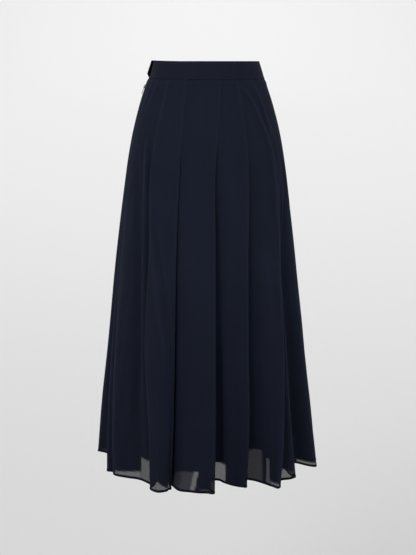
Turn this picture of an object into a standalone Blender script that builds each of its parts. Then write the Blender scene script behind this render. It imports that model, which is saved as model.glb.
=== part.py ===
"""Pleated midi skirt, worn form.

A fitted waistband closed by an overlapping tab, a skirt of pleats pressed flat down to the hip and
released below it, a plain lining inside, and a concealed zip in the side seam at -X.

Metres, +Z up. The front faces -Y. The origin is the middle of the waistband's top edge. Angles run
from the centre front (or, on the back, from the centre back) and are positive towards +X.
"""

import math
from collections import namedtuple

import bmesh
import bpy
from mathutils import Matrix, Vector

MM = 0.001
TINY = 1e-6

# ---- driving sizes -------------------------------------------------------------------------------
SKIRT_WALL = 0.0012
LINING_WALL = 0.0010
BAND_WALL = 0.0022
SEAM_GAP = 0.0003

BAND_FOOT = -0.040        # the waistband is 40 mm deep
RELEASE = -0.200          # the pleats are pressed flat down to here
HEM = -0.905
LINING_HEM = -0.880

LAYER = 0.0019            # from one pressed layer of a pleat to the next
HEM_NOSE = 0.010          # how thick the rounded edge of a released fold is at the hem
TUCK_AT_BAND = 0.010      # how far a pressed pleat goes under at the band
TUCK_AT_HIP = 0.020       # and at the hip
OPENING_POWER = 1.2       # how slowly the pleats open below the hip
LIFT_POWER = 3.0          # how near the hem its rises begin
HELD_SHARE = 0.42         # the share of a pressed panel that lies level over its pleat
UNDER_SHARE = 0.20        # how far a panel runs on under the next one, in shares of its width
WIDEST_SHARE = 0.14       # lines of a panel further apart than this get another between them
MITRE_LIMIT = 0.5         # keeps the wall's corners from running far out at a sharp crease

BAND_OUT = -0.0005        # the band's middle, measured outwards from the skirt's
BAND_START = -106.0       # degrees: the end that lies under the tab
BAND_END = 276.0          # degrees: the tab's end, a full turn on
BAND_STEP_AT = 348.0      # degrees from its start at which the band begins to step out over itself
BAND_STEP = 10.0          # degrees that the step takes
TAB_ANGLE = 12.0          # degrees over which the tab's foot rises
TAB_RISE = 0.007
BAND_COLUMNS = 72

LINING_TOP_IN = 0.0058    # from the skirt's middle surface in to the lining's
LINING_SIDE_IN = 0.062    # the same at the hem, at the sides
LINING_MIDDLE_IN = 0.084  # and at the centre front and back
LINING_RIPPLE = 0.004
LINING_RIPPLES = 5
LINING_COLUMNS = 26

ZIP_CENTRE = -0.054       # height of the slider's middle on the side seam
ZIP_CLEARANCE = 0.0003    # from the cloth out to the slider's back

# The slider lies on the seam. In its own frame +Z runs up along the cloth and -X out of it.
SLIDER_SIZE = (0.0009, 0.0046, 0.0080)
ARCH_HEIGHT = 0.0018             # from the slider's face to the top of its arch
ARCH_ROOT = 0.0002               # how far the arch's posts are sunk in the slider
ARCH_SPAN = 0.0056
ARCH_BAR = 0.0005
ARCH_WIDTH = 0.0012
PULL_WALL = 0.0008
PULL_WIDTH = 0.0046
PULL_LENGTH = 0.0190
PULL_TOP = 0.0004                # from the hinge's axis up to the pull's top edge
PULL_WINDOW = (0.0026, 0.0052)   # across and along
PULL_ROUND = 0.0016              # radius of the pull's corners

# ---- the garment's form --------------------------------------------------------------------------
# The middle surface of the pleats' outer layer, at each height.
Level = namedtuple("Level", "z half_width front_depth back_depth")
LEVELS = (
    Level(0.000, 0.1162, 0.087, 0.087),
    Level(-0.040, 0.1279, 0.096, 0.096),
    Level(-0.100, 0.1476, 0.108, 0.110),
    Level(-0.160, 0.1628, 0.119, 0.122),
    Level(-0.220, 0.1736, 0.129, 0.132),
    Level(-0.300, 0.1850, 0.141, 0.143),
    Level(-0.420, 0.1998, 0.159, 0.161),
    Level(-0.540, 0.2132, 0.178, 0.179),
    Level(-0.660, 0.2262, 0.197, 0.197),
    Level(-0.780, 0.2396, 0.216, 0.215),
    Level(-0.905, 0.2529, 0.235, 0.233),
)

# Heights of the rows of points of the upper cloth, the skirt's lower part, the lining's and the band.
UPPER_ROWS = (BAND_FOOT - SEAM_GAP, -0.080, -0.120, -0.160, RELEASE, -0.245)
SKIRT_ROWS = (*UPPER_ROWS, -0.300, -0.370, -0.450, -0.540, -0.630, -0.720, -0.800, -0.860, HEM)
LINING_ROWS = (*UPPER_ROWS, -0.320, -0.450, -0.600, -0.750, LINING_HEM)
BAND_ROWS = (0.0, -0.013, -0.027, BAND_FOOT)

# Each fold's edge is a line of angles down the skirt, at these heights.
FOLD_HEIGHTS = (-0.040, -0.230, -0.400, -0.600, -0.780, -0.905)

# over: the panel on top of the other, towards -X (left) or +X (right) of the fold's edge.
# edge_out: how far the edge stands out from the form at the hem, in mm.
# tuck_deg, tuck_out, tuck_lift: the hidden inner crease at the hem, its angle, mm outwards, mm up.
Fold = namedtuple("Fold", "name over band hip thigh knee calf hem edge_out tuck_deg tuck_out tuck_lift")
FRONT_FOLDS = (
    Fold("outer_left", "right", -66.0, -78.0, -76.0, -72.5, -69.0, -66.4, -14, -60.0, -48, 8),
    Fold("left", "right", -39.7, -44.6, -39.4, -38.3, -32.5, -29.6, -7, -26.0, -34, 2),
    Fold("middle_left", "left", -16.7, -17.2, -17.4, -17.2, -17.1, -18.0, -10, -26.0, -66, 3),
    Fold("middle_right", "left", 14.9, 7.0, 6.2, 5.6, 5.1, 4.4, 3, -4.8, -60, 8),
    Fold("right", "left", 32.7, 32.0, 28.5, 26.0, 24.4, 22.6, -20, 17.8, -76, 3),
    Fold("outer_right", "left", 51.0, 72.0, 56.5, 54.8, 53.9, 54.8, -6, 50.0, -50, 8),
)
BACK_FOLDS = (
    Fold("outer_left", "right", -64.0, -76.0, -72.0, -69.0, -66.0, -64.0, -8, -57.0, -46, 5),
    Fold("left", "right", -38.0, -44.0, -41.0, -38.5, -36.0, -34.0, -4, -28.0, -44, 3),
    Fold("middle_left", "right", -13.0, -13.5, -13.0, -12.5, -12.0, -11.5, 0, -3.5, -52, 4),
    Fold("middle_right", "left", 12.0, 12.5, 12.5, 12.5, 13.0, 13.5, 3, 5.0, -58, 5),
    Fold("right", "left", 37.0, 42.0, 39.0, 36.5, 34.5, 33.0, -8, 26.0, -54, 4),
    Fold("outer_right", "left", 62.0, 74.0, 70.0, 66.0, 63.0, 62.0, -6, 55.0, -46, 6),
)

# Where each panel runs between its two folds. top_share: how far across it, at the band, 0 to 1.
# hem_deg, out, lift: where that line of the cloth ends at the hem, in degrees, mm out and mm up.
Line = namedtuple("Line", "top_share hem_deg out lift")
FRONT_PANELS = (
    (Line(0.35, -84.5, -24, 16), Line(0.70, -77.0, -38, 14)),
    (
        Line(0.12, -62.7, -16, 0), Line(0.30, -58.3, -11, 0), Line(0.50, -51.5, -19, 0),
        Line(0.70, -44.7, -28, 0), Line(0.82, -39.4, -26, 0), Line(0.92, -34.5, -18, 0),
    ),
    (Line(0.25, -26.6, 7, 0), Line(0.50, -23.1, 13, 0), Line(0.75, -20.4, 5, 0)),
    (
        Line(0.06, -21.5, -50, 2), Line(0.15, -17.4, -32, 1), Line(0.30, -14.0, -16, 0),
        Line(0.50, -9.1, -7, 0), Line(0.75, -2.6, -3, 0),
    ),
    (
        Line(0.10, 7.5, -66, 6), Line(0.30, 12.8, -64, 5), Line(0.45, 14.2, -54, 2),
        Line(0.60, 17.4, -48, 0), Line(0.80, 19.8, -34, 0),
    ),
    (
        Line(0.08, 28.0, -58, 2), Line(0.20, 31.4, -48, 1), Line(0.40, 33.7, -24, 0),
        Line(0.82, 36.5, 13, 0), Line(0.87, 40.0, -2, 0), Line(0.91, 44.5, -17, 0),
        Line(0.95, 49.8, -9, 0),
    ),
    (
        Line(0.12, 60.0, -46, 10), Line(0.25, 68.5, -36, 11), Line(0.35, 70.6, -17, 6),
        Line(0.50, 73.8, 7, 0), Line(0.70, 81.0, 5, 0),
    ),
)
BACK_PANELS = (
    (Line(0.35, -84.0, 0, 8), Line(0.70, -75.0, -14, 8), Line(0.85, -68.0, -34, 7)),
    (
        Line(0.25, -57.0, 5, 0), Line(0.50, -50.0, 4, 0), Line(0.75, -43.0, -10, 2),
        Line(0.92, -37.0, -26, 4),
    ),
    (
        Line(0.25, -29.0, 7, 0), Line(0.50, -23.0, 6, 0), Line(0.75, -17.0, -14, 2),
        Line(0.93, -13.0, -34, 4),
    ),
    (Line(0.30, -5.0, 6, 0), Line(0.60, 2.0, 4, 0), Line(0.80, 8.0, 5, 0)),
    (
        Line(0.08, 15.5, -46, 5), Line(0.30, 20.0, -22, 2), Line(0.55, 25.0, -2, 0),
        Line(0.80, 29.0, 3, 0),
    ),
    (
        Line(0.08, 36.0, -42, 5), Line(0.30, 41.0, -16, 2), Line(0.50, 47.0, 6, 0),
        Line(0.70, 53.0, 4, 0), Line(0.87, 58.0, -4, 0),
    ),
    (Line(0.15, 66.0, -38, 8), Line(0.45, 73.0, -16, 5), Line(0.75, 82.0, 3, 0)),
)

# The side seams at the hem: mm outwards and mm up.
LEFT_SEAM = Line(0.0, -90.0, -6, 14)
RIGHT_SEAM = Line(1.0, 90.0, 0, 1)

# ---- colours -------------------------------------------------------------------------------------
Finish = namedtuple("Finish", "name colour roughness metallic")
NAVY_CHIFFON = Finish("navy_chiffon", (0.0095, 0.0115, 0.0200), 0.85, 0.0)
NAVY_BAND = Finish("navy_band", (0.0110, 0.0130, 0.0215), 0.80, 0.0)
NAVY_LINING = Finish("navy_lining", (0.0080, 0.0095, 0.0165), 0.55, 0.0)
NAVY_ENAMEL = Finish("navy_enamel", (0.0150, 0.0170, 0.0280), 0.35, 0.6)


# ---- small helpers -------------------------------------------------------------------------------
def mix(a, b, share):
    return a + (b - a) * share


def on_curve(heights, values, z):
    """The value at height z on a smooth curve through the given heights, highest first."""
    last = len(heights) - 1
    k = 0
    while k < last - 1 and z < heights[k + 1]:
        k += 1
    slopes = [(values[i + 1] - values[i]) / (heights[i + 1] - heights[i]) for i in range(last)]
    before = slopes[k] if k == 0 else (slopes[k - 1] + slopes[k]) / 2
    after = slopes[k] if k == last - 1 else (slopes[k] + slopes[k + 1]) / 2
    step = heights[k + 1] - heights[k]
    t = (z - heights[k]) / step
    return (
        values[k] * (2 * t ** 3 - 3 * t ** 2 + 1)
        + values[k + 1] * (3 * t ** 2 - 2 * t ** 3)
        + step * before * (t ** 3 - 2 * t ** 2 + t)
        + step * after * (t ** 3 - t ** 2)
    )


def form_at(z, front):
    """Half width and depth of the garment at height z."""
    heights = [level.z for level in LEVELS]
    width = on_curve(heights, [level.half_width for level in LEVELS], z)
    depths = [level.front_depth if front else level.back_depth for level in LEVELS]
    return width, on_curve(heights, depths, z)


def opened(z):
    """How far the pleats have opened at height z: 0 down to the hip, 1 at the hem."""
    return max(0.0, (RELEASE - z) / (RELEASE - HEM)) ** OPENING_POWER


def place(z, front, angle, out, lift=0.0):
    """A point on the form at an angle in radians, moved outwards and up."""
    width, depth = form_at(z, front)
    y = (depth + out) * math.cos(angle)
    return Vector(((width + out) * math.sin(angle), -y if front else y, z + lift))


def arc_per_radian(z, front, angle):
    width, depth = form_at(z, front)
    return math.hypot(width * math.cos(angle), depth * math.sin(angle))


# ---- the pleated surface -------------------------------------------------------------------------
def fold_angle(fold, z):
    """The angle of a fold's edge at height z, in radians."""
    line = (fold.band, fold.hip, fold.thigh, fold.knee, fold.calf, fold.hem)
    return math.radians(on_curve(FOLD_HEIGHTS, line, z))


def fold_points(fold, z, front):
    """The doubled-back cloth of one pleat: its outer edge, return and hidden inner crease.

    Six places of (angle, out, lift), in the order in which the cloth runs towards +X.
    """
    share = opened(z)
    back = -1.0 if fold.over == "left" else 1.0
    edge = fold_angle(fold, z)
    arc = arc_per_radian(z, front, edge)
    nose = mix(LAYER, HEM_NOSE, share)
    turn = nose / 2 / arc
    edge_out = fold.edge_out * MM * share
    hip_share = min(1.0, (z - BAND_FOOT) / (RELEASE - BAND_FOOT))
    pressed_tuck = back * mix(TUCK_AT_BAND, TUCK_AT_HIP, hip_share) / arc
    hem_tuck = math.radians(fold.tuck_deg - fold.hem)
    tuck = edge + mix(pressed_tuck, hem_tuck, share)
    tuck_out = mix(-2 * LAYER, fold.tuck_out * MM, share)
    lift = fold.tuck_lift * MM * share ** LIFT_POWER
    points = [
        (edge + back * turn, edge_out, 0.0),
        (edge, edge_out - nose / 2, 0.0),
        (edge + back * turn, edge_out - nose, 0.0),
        (tuck - back * turn, tuck_out + nose, lift),
        (tuck, tuck_out + nose / 2, lift),
        (tuck - back * turn, tuck_out, lift),
    ]
    return points if fold.over == "left" else points[::-1]


def panel_end(fold, side):
    """Where a panel ends at one of its folds: at the edge if it lies on top, else at the crease."""
    sign = -1.0 if side == "left" else 1.0
    base = 0.0 if side == "left" else 1.0
    on_top = fold.over != side
    if on_top:
        return Line(base, fold.hem, fold.edge_out, 0.0)
    return Line(base + sign * UNDER_SHARE, fold.tuck_deg, fold.tuck_out, fold.tuck_lift)


def finer_lines(lines, start, end):
    """A panel's lines with one more on a smooth curve between any two that lie far apart."""
    known = [start, *lines, end]
    finer = []
    for index in range(len(known) - 1):
        a, b = known[index], known[index + 1]
        if index > 0:
            finer.append(a)
        if b.top_share - a.top_share < WIDEST_SHARE:
            continue
        before = known[max(0, index - 1)]
        after = known[min(len(known) - 1, index + 2)]
        middle = [(9 * (q + r) - p - s) / 16 for p, q, r, s in zip(before, a, b, after)]
        finer.append(Line((a.top_share + b.top_share) / 2, *middle[1:]))
    return finer


def pressed_depth(left, right, across):
    """How deep a pressed panel lies: level where it covers a pleat, then down or up to its other side."""
    start, end = (HELD_SHARE, 1.0) if left > right else (0.0, 1.0 - HELD_SHARE)
    rise = min(1.0, max(0.0, (across - start) / (end - start)))
    return mix(left, right, rise * rise * (3 - 2 * rise))


def panel_points(lines, z, left, right):
    """The places of one panel's lines at height z.

    left, right: (edge angle now, edge angle at the hem, pressed depth) of the panel's two sides.
    """
    share = opened(z)
    points = []
    for line in lines:
        hem_share = (math.radians(line.hem_deg) - left[1]) / (right[1] - left[1])
        across = mix(line.top_share, hem_share, share)
        points.append((
            mix(left[0], right[0], across),
            mix(pressed_depth(left[2], right[2], line.top_share), line.out * MM, share),
            line.lift * MM * share ** LIFT_POWER,
        ))
    return points


def seam_point(seam, z):
    share = opened(z)
    return (math.radians(seam.hem_deg), seam.out * MM * share, seam.lift * MM * share ** LIFT_POWER)


def pleated_row(z, front):
    """One row of the skirt's middle surface, from its -X seam to its +X seam."""
    folds = FRONT_FOLDS if front else BACK_FOLDS
    panels = FRONT_PANELS if front else BACK_PANELS
    under = -2 * LAYER
    seam_angle = math.pi / 2
    lefts = [(-seam_angle, -seam_angle, 0.0)]
    rights = []
    starts = [LEFT_SEAM, *(panel_end(fold, "left") for fold in folds)]
    ends = [*(panel_end(fold, "right") for fold in folds), RIGHT_SEAM]
    for fold in folds:
        angles = (fold_angle(fold, z), math.radians(fold.hem))
        rights.append((*angles, 0.0 if fold.over == "left" else under))
        lefts.append((*angles, under if fold.over == "left" else 0.0))
    rights.append((seam_angle, seam_angle, 0.0))
    places = [seam_point(LEFT_SEAM, z)]
    for index, lines in enumerate(panels):
        finer = finer_lines(lines, starts[index], ends[index])
        places += panel_points(finer, z, lefts[index], rights[index])
        if index < len(folds):
            places += fold_points(folds[index], z, front)
    places.append(seam_point(RIGHT_SEAM, z))
    row = [place(z, front, *point) for point in places]
    for end in (row[0], row[-1]):
        end.y = -SEAM_GAP / 2 if front else SEAM_GAP / 2
    return row


def lining_row(z, front):
    """One row of the lining's middle surface, from its -X seam to its +X seam."""
    share = opened(z)
    row = []
    for column in range(LINING_COLUMNS + 1):
        angle = math.pi * (column / LINING_COLUMNS - 0.5)
        hem_in = mix(LINING_SIDE_IN, LINING_MIDDLE_IN, math.cos(angle) ** 2)
        ripple = LINING_RIPPLE * math.cos(angle) * math.sin(2 * LINING_RIPPLES * angle)
        row.append(place(z, front, angle, -mix(LINING_TOP_IN, hem_in - ripple, share)))
    for end in (row[0], row[-1]):
        end.y = -SEAM_GAP / 2 if front else SEAM_GAP / 2
    return row


def band_row(level):
    """One row of the waistband's middle surface, from its hidden end round to the tab's end."""
    row = []
    lap_out = BAND_WALL + SEAM_GAP
    for column in range(BAND_COLUMNS + 1):
        degrees = mix(BAND_START, BAND_END, column / BAND_COLUMNS)
        lap = min(1.0, max(0.0, (degrees - BAND_START - BAND_STEP_AT) / BAND_STEP))
        rise = min(1.0, max(0.0, (degrees - BAND_END + TAB_ANGLE) / TAB_ANGLE)) ** 2
        z = level * (1 - rise * TAB_RISE / -BAND_FOOT)
        width, depth = form_at(level, True)
        out = BAND_OUT + lap_out * lap
        angle = math.radians(degrees)
        row.append(Vector(((width + out) * math.sin(angle), -(depth + out) * math.cos(angle), z)))
    return row


# ---- solids --------------------------------------------------------------------------------------
def wall_offsets(row, side, seam_ends):
    """For each point of a row, the level step from the wall's middle to its outer face.

    side: 1 where outwards is to the right of the way the row runs, -1 where it is to the left.
    seam_ends: the two end faces lie along X, so that two halves meet squarely at a seam.
    """
    normals = []
    for a, b in zip(row, row[1:]):
        step = (b - a).xy.normalized()
        normals.append(Vector((step.y, -step.x)) * side)
    offsets = []
    for index in range(len(row)):
        near = normals[max(0, index - 1)]
        far = normals[min(len(normals) - 1, index)]
        middle = (near + far).normalized()
        offsets.append(middle / max(MITRE_LIMIT, middle.dot(far)))
    if seam_ends:
        offsets[0] = Vector((-1.0, 0.0))
        offsets[-1] = Vector((1.0, 0.0))
    return offsets


def wall_mesh(name, rows, thickness, side, seam_ends):
    """A closed wall of even thickness on a grid of middle points."""
    mesh = bmesh.new()
    outer, inner = [], []
    for row in rows:
        steps = [Vector((*step, 0.0)) * (thickness / 2) for step in wall_offsets(row, side, seam_ends)]
        outer.append([mesh.verts.new(point + step) for point, step in zip(row, steps)])
        inner.append([mesh.verts.new(point - step) for point, step in zip(row, steps)])
    last_row, last_column = len(rows) - 1, len(rows[0]) - 1
    for i in range(last_row):
        for j in range(last_column):
            mesh.faces.new((outer[i][j], outer[i + 1][j], outer[i + 1][j + 1], outer[i][j + 1]))
            mesh.faces.new((inner[i][j], inner[i][j + 1], inner[i + 1][j + 1], inner[i + 1][j]))
        for j in (0, last_column):
            mesh.faces.new((outer[i][j], inner[i][j], inner[i + 1][j], outer[i + 1][j]))
    for i in (0, last_row):
        for j in range(last_column):
            mesh.faces.new((outer[i][j], outer[i][j + 1], inner[i][j + 1], inner[i][j]))
    bmesh.ops.recalc_face_normals(mesh, faces=mesh.faces)
    bmesh.ops.triangulate(mesh, faces=mesh.faces)
    data = bpy.data.meshes.new(name)
    mesh.to_mesh(data)
    mesh.free()
    return data


def new_object(name, data, collection, finish):
    thing = bpy.data.objects.new(name, data)
    collection.objects.link(thing)
    data.materials.append(material(finish))
    return thing


def material(finish):
    made = bpy.data.materials.new(finish.name)
    made.use_nodes = True
    shader = made.node_tree.nodes["Principled BSDF"]
    shader.inputs["Base Color"].default_value = (*finish.colour, 1.0)
    shader.inputs["Roughness"].default_value = finish.roughness
    shader.inputs["Metallic"].default_value = finish.metallic
    return made


def box_mesh(name, size, centre):
    mesh = bmesh.new()
    bmesh.ops.create_cube(mesh, size=1.0)
    bmesh.ops.scale(mesh, vec=Vector(size), verts=mesh.verts)
    bmesh.ops.translate(mesh, vec=Vector(centre), verts=mesh.verts)
    data = bpy.data.meshes.new(name)
    mesh.to_mesh(data)
    mesh.free()
    return data


def boolean(thing, cutter, operation):
    step = thing.modifiers.new(cutter.name, "BOOLEAN")
    step.operation = operation
    step.object = cutter


def guide(name, data, collection, parent):
    thing = bpy.data.objects.new(name, data)
    collection.objects.link(thing)
    thing.hide_render = True
    thing.display_type = "WIRE"
    thing.parent = parent
    return thing


# ---- the pieces ----------------------------------------------------------------------------------
def make_skirt(parts):
    for name, front in (("skirt_front", True), ("skirt_back", False)):
        rows = [pleated_row(z, front) for z in SKIRT_ROWS]
        data = wall_mesh(name, rows, SKIRT_WALL, 1 if front else -1, True)
        new_object(name, data, parts, NAVY_CHIFFON)


def make_lining(parts):
    for name, front in (("lining_front", True), ("lining_back", False)):
        rows = [lining_row(z, front) for z in LINING_ROWS]
        data = wall_mesh(name, rows, LINING_WALL, 1 if front else -1, True)
        new_object(name, data, parts, NAVY_LINING)


def make_waistband(parts):
    rows = [band_row(z) for z in BAND_ROWS]
    new_object("waistband", wall_mesh("waistband", rows, BAND_WALL, 1, False), parts, NAVY_BAND)


def zip_frame():
    """The slider's place: on the side seam at -X, turned to lie along the sloping cloth."""
    width, _ = form_at(ZIP_CENTRE, True)
    above, _ = form_at(ZIP_CENTRE + SLIDER_SIZE[2] / 2, True)
    below, _ = form_at(ZIP_CENTRE - SLIDER_SIZE[2] / 2, True)
    slope = math.atan2(below - above, SLIDER_SIZE[2])
    out = SKIRT_WALL / 2 + ZIP_CLEARANCE + SLIDER_SIZE[0] / 2
    turn = Matrix.Rotation(slope, 4, "Y")
    seat = Vector((-width, 0.0, ZIP_CENTRE)) + turn @ Vector((-out, 0.0, 0.0))
    return Matrix.Translation(seat) @ turn


def make_slider(parts, cutters, frame):
    """The zip's slider: a small plate with an arch for the pull."""
    slider = new_object("zip_slider", box_mesh("zip_slider", SLIDER_SIZE, (0, 0, 0)), parts, NAVY_ENAMEL)
    slider.matrix_world = frame
    face = -SLIDER_SIZE[0] / 2
    height = ARCH_HEIGHT + ARCH_ROOT
    middle = face + ARCH_ROOT - height / 2
    reach = (ARCH_SPAN - ARCH_BAR) / 2
    shapes = (
        ("arch_top_post", (height, ARCH_WIDTH, ARCH_BAR), (middle, 0, reach)),
        ("arch_foot_post", (height, ARCH_WIDTH, ARCH_BAR), (middle, 0, -reach)),
        ("arch_bar", (ARCH_BAR, ARCH_WIDTH, ARCH_SPAN), (face - ARCH_HEIGHT + ARCH_BAR / 2, 0, 0)),
    )
    for name, size, centre in shapes:
        boolean(slider, guide(name, box_mesh(name, size, centre), cutters, slider), "UNION")


def make_pull(parts, cutters, frame):
    """The zip's pull: a flat tab whose top bar turns under the slider's arch."""
    pivot = -SLIDER_SIZE[0] / 2 - (ARCH_HEIGHT - ARCH_BAR) / 2
    hinge = bpy.data.objects.new("zip_pull_hinge", None)
    parts.objects.link(hinge)
    hinge.matrix_world = frame @ Matrix.Translation((pivot, 0, 0))
    plate = (PULL_WALL, PULL_WIDTH, PULL_LENGTH)
    plate_centre = (0, 0, PULL_TOP - PULL_LENGTH / 2)
    pull = new_object("zip_pull", box_mesh("zip_pull", plate, plate_centre), parts, NAVY_ENAMEL)
    pull.parent = hinge
    window = (4 * PULL_WALL, *PULL_WINDOW)
    window_centre = (0, 0, -PULL_TOP - PULL_WINDOW[1] / 2)
    cutter = guide("pull_window", box_mesh("pull_window", window, window_centre), cutters, hinge)
    round_foot(pull)
    boolean(pull, cutter, "DIFFERENCE")


def round_foot(pull):
    """Round the two lower corners of the pull's plate."""
    mesh = bmesh.new()
    mesh.from_mesh(pull.data)
    lowest = min(vert.co.z for vert in mesh.verts)
    corners = [
        edge for edge in mesh.edges
        if all(abs(vert.co.z - lowest) < TINY for vert in edge.verts)
        and abs(edge.verts[0].co.x - edge.verts[1].co.x) > PULL_WALL / 2
    ]
    bmesh.ops.bevel(mesh, geom=corners, offset=PULL_ROUND, segments=4, profile=0.5, affect="EDGES")
    mesh.to_mesh(pull.data)
    mesh.free()


def main():
    for thing in list(bpy.data.objects):
        bpy.data.objects.remove(thing, do_unlink=True)
    parts = bpy.data.collections.new("pleated_midi_skirt")
    cutters = bpy.data.collections.new("cutters")
    bpy.context.scene.collection.children.link(parts)
    bpy.context.scene.collection.children.link(cutters)
    make_waistband(parts)
    make_skirt(parts)
    make_lining(parts)
    frame = zip_frame()
    make_slider(parts, cutters, frame)
    make_pull(parts, cutters, frame)


main()
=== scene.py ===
"""Pleated midi skirt: the cloth, seams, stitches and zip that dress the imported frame.

Metres, +Z up. The front faces -Y and the origin is the middle of the waistband's top edge. Angles run
from the centre front (on the back, from the centre back) and are positive towards +X.
"""

import logging
import math
from collections.abc import Iterable, Iterator, Sequence
from contextlib import contextmanager
from dataclasses import dataclass, field
from enum import Enum
from functools import lru_cache

import bpy
import numpy as np
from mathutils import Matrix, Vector


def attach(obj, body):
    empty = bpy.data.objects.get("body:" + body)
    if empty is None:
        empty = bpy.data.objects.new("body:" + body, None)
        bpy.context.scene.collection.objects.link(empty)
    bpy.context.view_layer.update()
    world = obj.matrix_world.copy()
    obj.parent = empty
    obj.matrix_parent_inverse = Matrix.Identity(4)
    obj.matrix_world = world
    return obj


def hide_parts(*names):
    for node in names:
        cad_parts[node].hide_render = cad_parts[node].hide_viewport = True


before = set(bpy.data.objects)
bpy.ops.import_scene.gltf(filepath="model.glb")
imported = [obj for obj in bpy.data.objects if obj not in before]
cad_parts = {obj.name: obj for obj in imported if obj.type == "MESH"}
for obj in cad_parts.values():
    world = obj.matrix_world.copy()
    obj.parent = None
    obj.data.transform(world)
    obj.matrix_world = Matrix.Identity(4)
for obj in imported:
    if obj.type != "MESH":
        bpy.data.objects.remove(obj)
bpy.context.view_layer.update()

LOG = logging.getLogger("pleated_skirt")
MM = 0.001
TINY = 1e-9
SHORTEST = 1e-7  # stretches of a line shorter than this count as this long
Pair = tuple[float, float]
Triple = tuple[float, float, float]
Rgb = Triple
Spot = Triple  # an angle in radians, metres outwards and metres up
Piece = bpy.types.Object
Socket = bpy.types.NodeSocket

# ---- what the pieces share: metres, unless a name or a comment says otherwise --------------------
BAND_FOOT = -0.040  # the waistband's lower edge
RELEASE = -0.200  # where the pleats are no longer pressed flat
HEM = -0.905
LAYER = 0.0019  # from one layer of an open pleat to the next
HEM_NOSE = 0.010  # the thickness of a fold's round edge at the hem
TUCK_AT_BAND = 0.010  # how deep the cloth is folded back at the band
TUCK_AT_HIP = 0.020
OPENING_POWER = 1.2  # above 1 the pleats open later on their way down
LIFT_POWER = 3.0  # the same for the ups and downs of the hem
HELD_SHARE = 0.42  # the share of a pressed panel that lies level before it slopes to its lower side
UNDER_SHARE = 0.20  # how far a panel's hidden end lies past its width, as a share of it
SEAM_REACH = 0.0025  # how far from a side seam its dip is felt
HITCH_REACH = 62.0  # degrees from the left seam over which the cloth is drawn up further
DRAWN_IN_TO = 45.0  # degrees from the left seam where it is no longer drawn in
DRAWN_IN_FADE = 35.0  # degrees over which that ends
FOLD_HEIGHTS = (-0.040, -0.230, -0.400, -0.600, -0.780, -0.905)


class Half(Enum):
    """The skirt's front or back; the value is the side of the Y axis it lies on."""

    FRONT = -1
    BACK = 1


class Over(Enum):
    """Which panel lies on top at a pleat: the one towards -X or the one towards +X."""

    LEFT = -1
    RIGHT = 1


# ---- smooth curves -------------------------------------------------------------------------------
def mix(a: float, b: float, share: float) -> float:
    """The value that far from a to b."""
    return a + (b - a) * share


def smooth(share: float) -> float:
    """A share from 0 to 1 with a soft start and end."""
    share = min(1.0, max(0.0, share))
    return share * share * (3 - 2 * share)


def bell(off: float) -> float:
    """1 in the middle, and falling softly to nothing on both sides."""
    return math.exp(-off * off)


def cubic(t: float | np.ndarray) -> tuple[float | np.ndarray, ...]:
    """A cubic's shares of its start, its end, its slope at the start and its slope at the end."""
    return 2 * t**3 - 3 * t**2 + 1, 3 * t**2 - 2 * t**3, t**3 - 2 * t**2 + t, t**3 - t**2


def unit(vectors: np.ndarray) -> np.ndarray:
    """Vectors of length 1."""
    return vectors / np.maximum(np.linalg.norm(vectors, axis=-1), TINY)[..., None]


def travelled(points: np.ndarray) -> np.ndarray:
    """How far along a line each of its points lies."""
    return np.pad(np.linalg.norm(np.diff(points, axis=0), axis=1).cumsum(), (1, 0))


def on_curve(heights: Sequence[float], values: Sequence[float], z: float) -> float:
    """The value at a height on a smooth curve.

    Args:
        heights: Heights of the known values, the highest first.
        values: The value at each of them.
        z: The height asked for.

    Returns:
        The value there.
    """
    last = len(heights) - 1
    k = 0
    while k < last - 1 and z < heights[k + 1]:
        k += 1
    slopes = [(values[i + 1] - values[i]) / (heights[i + 1] - heights[i]) for i in range(last)]
    before = slopes[k] if k == 0 else (slopes[k - 1] + slopes[k]) / 2
    after = slopes[k] if k == last - 1 else (slopes[k] + slopes[k + 1]) / 2
    step = heights[k + 1] - heights[k]
    start, end, leaving, arriving = cubic((z - heights[k]) / step)
    return values[k] * start + values[k + 1] * end + step * before * leaving + step * after * arriving


def between(known: Sequence[Pair], at: float) -> float:
    """A softly stepped value from a short table.

    Args:
        known: Pairs of place and value, in rising order of place.
        at: The place asked for.

    Returns:
        The value there, level beyond the table's ends.
    """
    if at <= known[0][0]:
        return known[0][1]
    for (a, low), (b, high) in zip(known, known[1:]):
        if at <= b:
            return mix(low, high, smooth((at - a) / (b - a)))
    return known[-1][1]


@dataclass(frozen=True)
class Run:
    """A smooth line through points, sampled the same way for every row of a cloth."""

    counts: tuple[int, ...]
    reach: float = 3.0

    def samples(self) -> tuple[np.ndarray, np.ndarray]:
        """Spreads the samples over the stretches.

        Returns:
            The stretch that each sample lies on, and the share along it.
        """
        stretch, share = [], []
        for index, count in enumerate(self.counts):
            stretch += [index] * count
            share += [k / count for k in range(count)]
        return np.array([*stretch, len(self.counts) - 1]), np.array([*share, 1.0])

    def through(self, points: np.ndarray) -> np.ndarray:
        """Samples a smooth line.

        Args:
            points: One point a row, one more than there are counts.

        Returns:
            The samples, one a row.
        """
        step = np.diff(points, axis=0)
        length = np.maximum(np.linalg.norm(step, axis=1), SHORTEST)
        way = step / length[:, None]
        turn = np.vstack([way[:1], way[:-1] + way[1:], way[-1:]])
        turn /= np.maximum(np.linalg.norm(turn, axis=1), SHORTEST)[:, None]
        beside = np.concatenate([length[:1], np.minimum(length[:-1], length[1:]), length[-1:]])
        stretch, share = self.samples()
        out, into = (
            turn[at] * np.minimum(length[stretch], self.reach * beside[at])[:, None]
            for at in (stretch, stretch + 1)
        )
        start, end, leaving, arriving = cubic(share[:, None])
        return points[stretch] * start + points[stretch + 1] * end + out * leaving + into * arriving


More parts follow.
